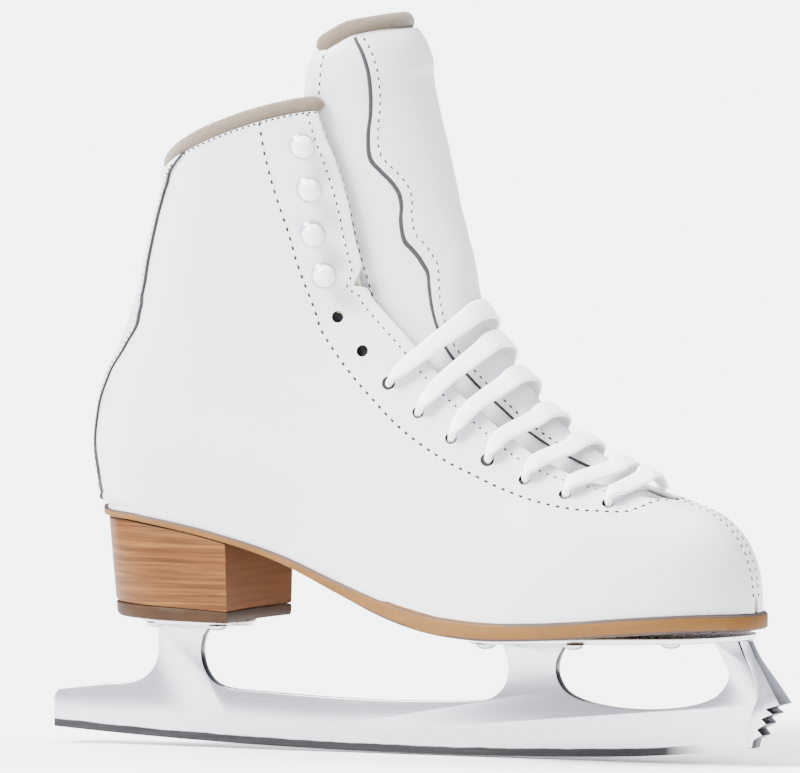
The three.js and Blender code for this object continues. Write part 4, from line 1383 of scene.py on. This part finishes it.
def ring_around(outline, count_across=5):
    """The outline's points once round: down one side, up the other."""
    (front_x, front_half), (back_x, back_half) = outline[0], outline[-1]
    front = [(front_x, front_half * k) for k in steps(1, -1, count_across)][1:-1]
    back = [(back_x, back_half * k) for k in steps(-1, 1, count_across)][1:-1]
    near = [(x, -half) for x, half in outline]
    far = [(x, half) for x, half in reversed(outline)]
    return near + back + far + front


def layered(name, rings, body="boot"):
    """A closed solid through rings of points from bottom to top."""
    count = len(rings[0])
    vertices = [placed(p) for ring in rings for p in ring]
    faces = []
    for i in range(len(rings) - 1):
        for k in range(count):
            a, b = i * count + k, i * count + (k + 1) % count
            faces.append((a, b, b + count, a + count))
    faces.append(tuple(reversed(range(count))))
    faces.append(tuple(range(len(vertices) - count, len(vertices))))
    return outwards(new_object(name, vertices, faces, body))


def outsole_piece():
    stations = steps(0, 1, 24)[:-1] + steps(1, 13, 170)[:-1] + steps(13, 16, 60)
    outline = ring_around(footprint(stations, SOLE_MARGIN))
    rings = []
    for share, inset in ((0, 0.7), (0.05, 0.25), (0.14, 0), (0.86, 0), (0.95, 0.2), (1, 0.6)):
        ring = []
        for x, y in outline:
            shrink = 1 - inset / 40
            low = sole_at(x) - GAP - outsole_thickness(x)
            ring.append((mix(131.5, x, shrink), sway(x) + y * shrink, mix(low, sole_at(x) - GAP, share)))
        rings.append(ring)
    return layered("outsole_leather", rings)


def height_in_sole(finish):
    """Height above the floor, in metres, and the way along the boot."""
    place = finish.place()
    return [finish.node("SeparateXYZ", {}, {0: place}, output=k) for k in range(3)]


def outsole_finish():
    finish = Finish("outsole_leather", roughness=0.6, specular_ior_level=0.2)
    streak = finish.noise(28, 5, stretch=(1, 1, 9))
    fine = finish.noise(420, 3)
    finish.feed(base_color=finish.blend(
        streak * 0.75 + fine * 0.3, paint(118, 82, 38), paint(84, 54, 22)
    ))
    finish.bump(streak * 0.5 + fine * 0.5, 0.2, 0.0003)
    return finish


# Near-black brown: painted shade in the joints of the sole with the upper and the heel.
def sole_joint_shade():
    finish = Finish("sole_joint_shade", roughness=0.6)
    finish.feed(base_color=finish.blend(finish.noise(300, 3), paint(30, 18, 10), paint(58, 36, 20)))
    return finish


outsole = outsole_piece()
softly(outsole, 50)
# The bevels facing up and down take the painted shade of those joints.
for polygon in outsole.data.polygons:
    polygon.material_index = int(abs(polygon.normal.z) > 0.35 and len(polygon.vertices) == 4)
dress(outsole, outsole_finish(), sole_joint_shade())
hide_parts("outsole")


# ---- Heel
# Stacked leather heel with a brown varnish over its layers, a concave breast painted darker as shade,
# and a darker lift glued under it.
BREAST = 60
HEEL_BASE = 50.0
HEEL_PITCH = 0.025
LIFT_SHARE = 0.14


def heel_base_at(x):
    return HEEL_BASE - HEEL_PITCH * x


def heel_layer(name, levels):
    """A slice of the heel; levels are (share of its height, how far its edge is drawn in)."""
    outline = footprint(steps(13.68, 15, 20)[:-1] + steps(15, 16, 70), SOLE_MARGIN)
    breast_x = outline[0][0]
    rings = []
    for level, inset in levels:
        shrink = mix(0.93, 0.985, level) - inset / 30
        ring = []
        for x, y in ring_around(outline, 24):
            hollow = 1.6 * (1 - (y / outline[0][1]) ** 2) if x == breast_x else 0.0
            x = BREAST + (x - breast_x) * shrink - inset * (x == breast_x) - hollow
            seat = sole_at(x) - outsole_thickness(x) - 3 * GAP
            ring.append((x, (sway(x) + y) * shrink, mix(heel_base_at(x), seat, level)))
        rings.append(ring)
    return softly(layered(name, rings), 45)


def heel_finish():
    finish = Finish("stacked_leather_heel", roughness=0.5, specular_ior_level=0.12)
    along, across, height = height_in_sole(finish)
    wander = finish.noise(22, 4, stretch=(1, 1, 2.2))
    bands = finish.node(
        "Math", {"operation": "SINE"}, {0: height * 1500.0 + wander * 9.0}
    )
    fibre = finish.noise(90, 8, stretch=(0.3, 0.3, 10))
    tone = finish.node("ValToRGB", {"stops": (
        (0.0, paint(48, 25, 9)),
        (0.38, paint(82, 49, 22)),
        (0.7, paint(103, 67, 32)),
        (1.0, paint(128, 90, 50)),
    )}, {0: bands * 0.08 + fibre * 1.5 - 0.25})
    finish.feed(base_color=tone)
    finish.bump(fibre * 0.7 + bands * 0.2, 0.15, 0.0003)
    return finish


def lift_finish():
    finish = Finish("heel_lift", roughness=0.65, specular_ior_level=0.2)
    grain = finish.noise(70, 5, stretch=(1, 1, 12))
    finish.feed(base_color=finish.blend(grain, paint(62, 38, 14), paint(34, 20, 6)))
    finish.bump(finish.noise(700, 3), 0.25, 0.0003)
    return finish


# Darker than the heel's sides: painted shade on the breast, which faces away from the key light.
def breast_shade_finish():
    finish = Finish("heel_breast_shade", roughness=0.7, specular_ior_level=0.05)
    fibre = finish.noise(60, 6, stretch=(0.35, 0.35, 9))
    finish.feed(base_color=finish.blend(fibre, paint(98, 60, 30), paint(62, 34, 14)))
    finish.bump(fibre, 0.15, 0.0003)
    return finish


heel_block = heel_layer("heel_stack", ((LIFT_SHARE + 0.008, 0.35), (0.17, 0), (0.6, 0), (0.985, 0), (1, 0.3)))
# The faces towards the toe, the breast, get the darker painted shade.
for polygon in heel_block.data.polygons:
    polygon.material_index = int(polygon.normal.x > 0.7)
dress(heel_block, heel_finish(), breast_shade_finish())
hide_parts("heel_block")
LIFT_EDGE = ((0, 0.5), (0.02, 0.1), (0.05, 0), (LIFT_SHARE - 0.01, 0), (LIFT_SHARE, 0.3))
heel_lift = heel_layer("heel_top_lift", LIFT_EDGE)
dress(heel_lift, lift_finish())
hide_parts("heel_lift")


# ---- Blade
# Steel runner with its three stanchions, cut from one sheet, chromed and polished except for the
# ground band along the bottom. The rake with its picks is brazed to the front stanchion.
BLADE_THICK = 4.2
RUNNER_TAIL = -25.5
RUNNER_FRONT = 262
ROCKER_RADIUS = 2150
ROCKER_CONTACT = 130
SPIN_ROCKER_START = 205
SPIN_ROCKER_RADIUS = 536
TOE_SEAT_SLOPE = 0.035
PLATE_THICK = 2.2
GROUND_BAND = 3.3


def rocker_at(x):
    on_main = min(x, SPIN_ROCKER_START) - ROCKER_CONTACT
    past = max(0.0, x - SPIN_ROCKER_START)
    slope = (SPIN_ROCKER_START - ROCKER_CONTACT) / ROCKER_RADIUS
    return on_main ** 2 / (2 * ROCKER_RADIUS) + slope * past + past ** 2 / (2 * SPIN_ROCKER_RADIUS)


def toe_seat_at(x):
    return 45.9 + TOE_SEAT_SLOPE * (x - 177)


def toe_plate_base(x):
    return toe_seat_at(x) - GAP - PLATE_THICK


def heel_plate_base(x):
    return heel_base_at(x) - GAP - PLATE_THICK


def spline_on(points, per_span=6):
    """Points on a smooth curve through a few, all but the first."""
    found = []
    for i in range(len(points) - 1):
        found += [tuple(smooth_between(points, i + k / per_span)) for k in range(1, per_span + 1)]
    return found


def runner_outline():
    line = [(x, rocker_at(x)) for x in steps(RUNNER_TAIL, RUNNER_FRONT, 110)]

    def curve(points):
        line.extend(spline_on([line[-1], *points]))

    def up_to(x, base):
        line.append((x, base(x) - GAP))

    curve([(262.5, 13.5), (264.5, 20), (266.6, 26), (264.6, 32), (261.5, 38)])
    up_to(257.5, toe_plate_base)
    up_to(247.5, toe_plate_base)
    curve([
        (251.2, 39.5), (253.7, 34.3), (252.6, 29.5), (248, 24.8), (239, 21.6), (227, 19.8), (216, 19.4),
        (205, 20), (195, 21.8), (187.6, 24.9), (184, 29.5), (183.1, 34.4), (184.2, 38.6),
    ])
    up_to(187.2, toe_plate_base)
    up_to(160.8, toe_plate_base)
    curve([
        (162.8, 37.5), (163.5, 32.9), (162.4, 27.6), (159, 23.4), (152.8, 21), (135, 20), (110, 19.6),
        (85, 20.2), (60, 21.3), (47.7, 22.2), (41.5, 24.4), (37.6, 29.3), (36.1, 36), (37.2, 42),
    ])
    up_to(40.6, heel_plate_base)
    up_to(17.4, heel_plate_base)
    curve([(18.3, 40), (17.9, 33), (14.6, 27.1), (8, 23.6), (-5, 22.2), (-20, 20.4)])
    curve([(-23.6, 19.6), (RUNNER_TAIL, 16.8)])
    return line[:-1] + [(RUNNER_TAIL, 16.8)]


def slab_of(name, outline, half_at):
    """A side-view outline given thickness across the blade; half_at(x, z) is half of it."""
    count = len(outline)
    points = [(x, y * half_at(x, z), z) for y in (-1, 1) for x, z in outline]
    faces = [tuple(range(count)), tuple(range(2 * count - 1, count - 1, -1))]
    for k in range(count):
        a, b = k, (k + 1) % count
        faces.append((a, a + count, b + count, b))
    return outwards(new_object(name, [placed(p) for p in points], faces, "boot"))


def chromed(name, light=(214, 215, 219), dark=(190, 191, 196)):
    finish = Finish(name, metallic=1.0)
    cloud = finish.noise(18, 3)
    polish = finish.noise(240, 3, stretch=(1, 1, 0.15))
    finish.feed(base_color=finish.blend(cloud, paint(*light), paint(*dark)), roughness=0.2 + 0.12 * polish)
    finish.bump(finish.noise(900, 2), 0.03, 0.0002)
    return finish


def runner_chrome():
    finish = Finish("blade_chrome", metallic=1.0)
    along, across, height = height_in_sole(finish)
    along = along - last_origin.x
    from_contact = along - ROCKER_CONTACT * MM
    spin = finish.node(
        "Math", {"operation": "MAXIMUM"}, {0: along - SPIN_ROCKER_START * MM, 1: 0.0}
    )
    rocker = from_contact * from_contact * (0.5 / (ROCKER_RADIUS * MM)) + spin * spin * 0.7
    ragged = finish.noise(90, 3, stretch=(1, 1, 0.2)) * 0.0009
    band_height = height - rocker + ragged
    stops = (0.0, (1, 1, 1, 1)), (1.0, (0, 0, 0, 1))
    ground = finish.node("ValToRGB", {"stops": stops}, {0: (band_height - GROUND_BAND * MM) * 2500.0})
    fade = finish.node("ValToRGB", {"stops": stops}, {0: (along - 0.228) * 60.0})
    ground = finish.node("Math", {"operation": "MULTIPLY"}, {0: ground, 1: fade})
    brushed = finish.noise(30, 4, stretch=(1, 1, 90))
    cloud = finish.noise(16, 3)
    plated = finish.blend(cloud, paint(214, 215, 219), paint(196, 197, 202))
    steel = finish.blend(brushed, paint(70, 70, 72), paint(34, 34, 37))
    finish.feed(base_color=finish.blend(ground, plated, steel), roughness=0.22 + 0.2 * ground + 0.1 * brushed)
    finish.bump(finish.noise(700, 3, stretch=(0.1, 1, 1)), 0.04, 0.0002)
    return finish


runner = slab_of("blade_runner_plated", runner_outline(), lambda x, z: BLADE_THICK / 2)
work(runner, "BEVEL", width=0.35 * MM, segments=2, limit_method="ANGLE", angle_limit=math.radians(50))
softly(runner, 35)
# Dark steel for the runner's faces towards the toe: partly unpolished cut steel, partly painted shade and
# painted dark reflection.
cut_steel_and_shade = chromed("cut_steel_and_shade", (78, 78, 82), (34, 34, 38))
for polygon in runner.data.polygons:
    polygon.material_index = int(polygon.normal.x > 0.25 and abs(polygon.normal.y) < 0.4)
dress(runner, runner_chrome(), cut_steel_and_shade)
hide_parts("blade_runner")


def rake_outline():
    tips = [(276.4, 23.2), (273.4, 19.6), (270.6, 15.8), (268.6, 11.4), (264.0, 6.2)]
    roots = [(270.6, 21.4), (268.6, 17.6), (266.6, 13.6), (264.9, 9.6)]
    line = [(258.3, toe_plate_base(258.3) - GAP), (262.0, toe_plate_base(262) - GAP)]
    line += spline_on([line[-1], (265.2, 40), (269.2, 34), (272.8, 28.6)])
    line.append(tips[0])
    for root, tip in zip(roots, tips[1:]):
        line += [root, tip]
    line.append((RUNNER_FRONT + GAP, 7.4))
    line += spline_on([line[-1], (262.9, 13.4), (264.9, 19.8), (267.1, 26), (265.1, 32.1), (262.0, 38.1)])
    return line


def rake_half(x, z):
    wide = mix(4.6, 11.5, ramp((44 - z) / 22)) if z > 22 else mix(7.5, 11.5, ramp((z - 6) / 16))
    return wide / 2


rake = slab_of("toe_rake_plated", rake_outline(), rake_half)
work(rake, "BEVEL", width=0.22 * MM, segments=2, limit_method="ANGLE", angle_limit=math.radians(30))
softly(rake, 30)
chrome = chromed("plate_chrome")
# The rake's lower faces across the blade, its picks among them, take the same dark steel: partly unpolished,
# partly painted shade.
for polygon in rake.data.polygons:
    polygon.material_index = int(abs(polygon.normal.y) < 0.5 and polygon.center.z < 24 * MM)
dress(rake, chrome, cut_steel_and_shade)
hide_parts("toe_rake")


# ---- Plates and screws
# Two chromed steel plates brazed on the stanchions and screwed to the heel and the sole with ten
# pan-head steel screws.
HEEL_SCREWS = ((23, -13.5), (23, 13.5), (48, -12.5), (48, 12.5))
TOE_SCREWS = ((160, -14), (160, 14), (200, -23), (200, 23), (238, -19), (238, 19))


def plate(name, start, length, rear_half, front_half, slope, seat_at):
    outline = [(rear_half + rear_half * math.cos(a), rear_half * math.sin(a))
               for a in steps(math.pi / 2, 1.5 * math.pi, 40)]
    outline += [(length - front_half + front_half * math.cos(a), front_half * math.sin(a))
                for a in steps(-math.pi / 2, math.pi / 2, 40)]
    rings = []
    edge = ((PLATE_THICK, 0.5), (PLATE_THICK - 0.35, 0.1), (PLATE_THICK - 0.6, 0), (0.3, 0), (0, 0.25))
    for depth, inset in edge:
        ring = []
        for x, y in outline:
            shrink_x, shrink_y = 1 - 2 * inset / length, 1 - inset / 20
            along = mix(length / 2, x, shrink_x)
            ring.append((start + along, y * shrink_y, seat_at(start) - GAP - depth + slope * along))
        rings.append(ring)
    return softly(layered(name, rings), 40)


heel_plate = plate("heel_plate_plated", 12.5, 44, 19, 17.5, -HEEL_PITCH, heel_base_at)
toe_plate = plate("toe_plate_plated", 148, 114, 19, 26, TOE_SEAT_SLOPE, toe_seat_at)
for piece, node in ((heel_plate, "heel_plate"), (toe_plate, "toe_plate")):
    dress(piece, chrome)
    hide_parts(node)


def screw_head(name, x, y, seat):
    """A pan head with a cross recess, set just under the plate."""
    top = seat - GAP - PLATE_THICK
    bpy.ops.mesh.primitive_uv_sphere_add(segments=32, ring_count=16, radius=3.9 * MM)
    head = bpy.context.object
    head.name = name
    for vertex in head.data.vertices:
        vertex.co.z *= 0.5
        if vertex.co.z > 0:
            vertex.co.z = 0
    for turn in (0, math.pi / 2):
        bpy.ops.mesh.primitive_cube_add(size=1, location=(0, 0, -2.0 * MM), rotation=(0, 0, turn + 0.6))
        slot = bpy.context.object
        slot.scale = (4.4 * MM, 0.8 * MM, 1.3 * MM)
        work(head, "BOOLEAN", operation="DIFFERENCE", solver="EXACT", object=slot)
        bpy.data.objects.remove(slot)
    head.data.transform(Matrix.Translation(placed((x, y, top - 0.02))))
    outwards(head)
    softly(head, 40)
    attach(head, "boot")
    return head


screw_steel = chromed("screw_steel", (214, 214, 216), (188, 188, 192))
for group, places, seat_at in (("heel", HEEL_SCREWS, heel_base_at), ("toe", TOE_SCREWS, toe_seat_at)):
    for number, (x, y) in enumerate(places, 1):
        screw = screw_head("%s_screw_head_%d" % (group, number), x, y, seat_at(x))
        dress(screw, screw_steel)
        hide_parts("%s_screw_%d" % (group, number))


# ---- Hooks
# Four white enamelled steel lacing hooks a side above the eyelets: a domed button on a short
# neck, riveted through the facing.
HOOK_HEAD = 4.2                   # radius of the button
HOOK_LEAN = 1.3                   # how far the button leans over its flange
HOOK_NECK_TOP = 3.2               # the flange and the neck below this are in the shade of the head


def hook_shape(name, centre, normal, along, side):
    """A lathe-turned button that leans over its flange towards the facing's edge."""
    profile = (
        (4.6, 0.0), (4.8, 0.3), (4.5, 0.7), (2.0, 1.1), (1.6, 1.8), (1.6, 2.6), (2.3, 3.1), (3.5, 3.4),
        (4.1, 3.9), (HOOK_HEAD, 4.6), (4.1, 5.4), (3.5, 6.2), (2.5, 6.9), (1.3, 7.3),
    )
    sides = 36
    aside = normal.cross(along).normalized() * side
    vertices = [placed(centre - normal * 0.1)]
    faces = []
    for radius, height in profile:
        lean = aside * (HOOK_LEAN * ramp((height - 1.5) / 3))
        for k in range(sides):
            angle = 2 * math.pi * k / sides
            spread = along * math.cos(angle) + aside * math.sin(angle)
            vertices.append(placed(centre + normal * (height - 0.1) + spread * radius + lean))
    vertices.append(placed(centre + normal * 7.35 + aside * HOOK_LEAN))
    last = 1 + (len(profile) - 1) * sides
    for k in range(sides):
        faces.append((0, 1 + (k + 1) % sides, 1 + k))
        faces.append((last + k, last + (k + 1) % sides, len(vertices) - 1))
    for i in range(len(profile) - 1):
        for k in range(sides):
            a, b = 1 + i * sides + k, 1 + i * sides + (k + 1) % sides
            faces.append((a, b, b + sides, a + sides))
    return softly(outwards(new_object(name, vertices, faces, "boot")), 70)


def hook_finish(name, light, dark):
    finish = Finish(name, coat_weight=0.3, coat_roughness=0.08)
    cloud = finish.noise(120, 3)
    finish.feed(base_color=finish.blend(cloud, paint(*light), paint(*dark)), roughness=0.16 + 0.1 * cloud)
    finish.bump(finish.noise(1200, 2), 0.04, 0.0002)
    return finish


hook_enamel = hook_finish("hook_enamel", (238, 238, 239), (224, 224, 229))
# Grey finish for the flange and the neck: painted shade under the button.
flange_shade = hook_finish("hook_flange_shade", (176, 176, 184), (150, 150, 160))
for label, side in (("lateral", LATERAL), ("medial", MEDIAL)):
    for number, t in enumerate(rows[EYELET_ROWS:], 1):
        v = eyelet_share(t)
        along = (upper(t + 0.2, v, side, 0) - upper(t - 0.2, v, side, 0)).normalized()
        seat, out = upper(t, v, side, 0), upper_normal(t, v, side)
        hook = hook_shape("hook_button_%s_%d" % (label, number), seat, out, along, side)
        # Faces below the neck's top take the grey painted shade.
        for polygon in hook.data.polygons:
            height = (polygon.center - placed(seat)).dot(out)
            polygon.material_index = int(height < HOOK_NECK_TOP * MM)
        dress(hook, hook_enamel, flange_shade)
        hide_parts("hook_%s_%d" % (label, number))


# ---- Studio
# A pale seamless floor under a pale dome that is darker towards the toe, with one broad soft light
# from the front left and a weaker one from above.
def soft_sun(name, position, strength, spread):
    data = bpy.data.lights.new(name, "SUN")
    data.energy = strength
    data.angle = math.radians(spread)
    lamp = bpy.data.objects.new(name, data)
    lamp.location = position
    lamp.rotation_euler = Vector(position).to_track_quat("Z", "Y").to_euler()
    bpy.context.scene.collection.objects.link(lamp)
    return lamp


def studio_finish():
    finish = Finish("pale_floor", roughness=0.9, specular_ior_level=0.1)
    finish.feed(base_color=finish.blend(finish.noise(0.7), paint(252, 252, 252), paint(250, 250, 251)))
    return finish


bpy.ops.mesh.primitive_circle_add(vertices=128, radius=30, fill_type="NGON", location=(0, 0, -0.0005))
floor = bpy.context.object
floor.name = "studio_floor"
dress(floor, studio_finish())

world = bpy.data.worlds.new("studio")
world.use_nodes = True
dome = world.node_tree.nodes["Background"]
dome.inputs["Color"].default_value = paint(236, 237, 252)
direction = world.node_tree.nodes.new("ShaderNodeTexCoord")
axes = world.node_tree.nodes.new("ShaderNodeSeparateXYZ")
shade = world.node_tree.nodes.new("ShaderNodeMapRange")
shade.interpolation_type = "SMOOTHSTEP"
for key, value in (("From Min", -0.25), ("From Max", 0.85), ("To Min", 1.3), ("To Max", 0.1)):
    shade.inputs[key].default_value = value
world.node_tree.links.new(direction.outputs["Generated"], axes.inputs["Vector"])
world.node_tree.links.new(axes.outputs["X"], shade.inputs["Value"])
world.node_tree.links.new(shade.outputs["Result"], dome.inputs["Strength"])
bpy.context.scene.world = world
soft_sun("key", (-0.65, -0.75, 1.0), 15, 25)
soft_sun("top", (0.1, 0.15, 1.0), 7, 60)
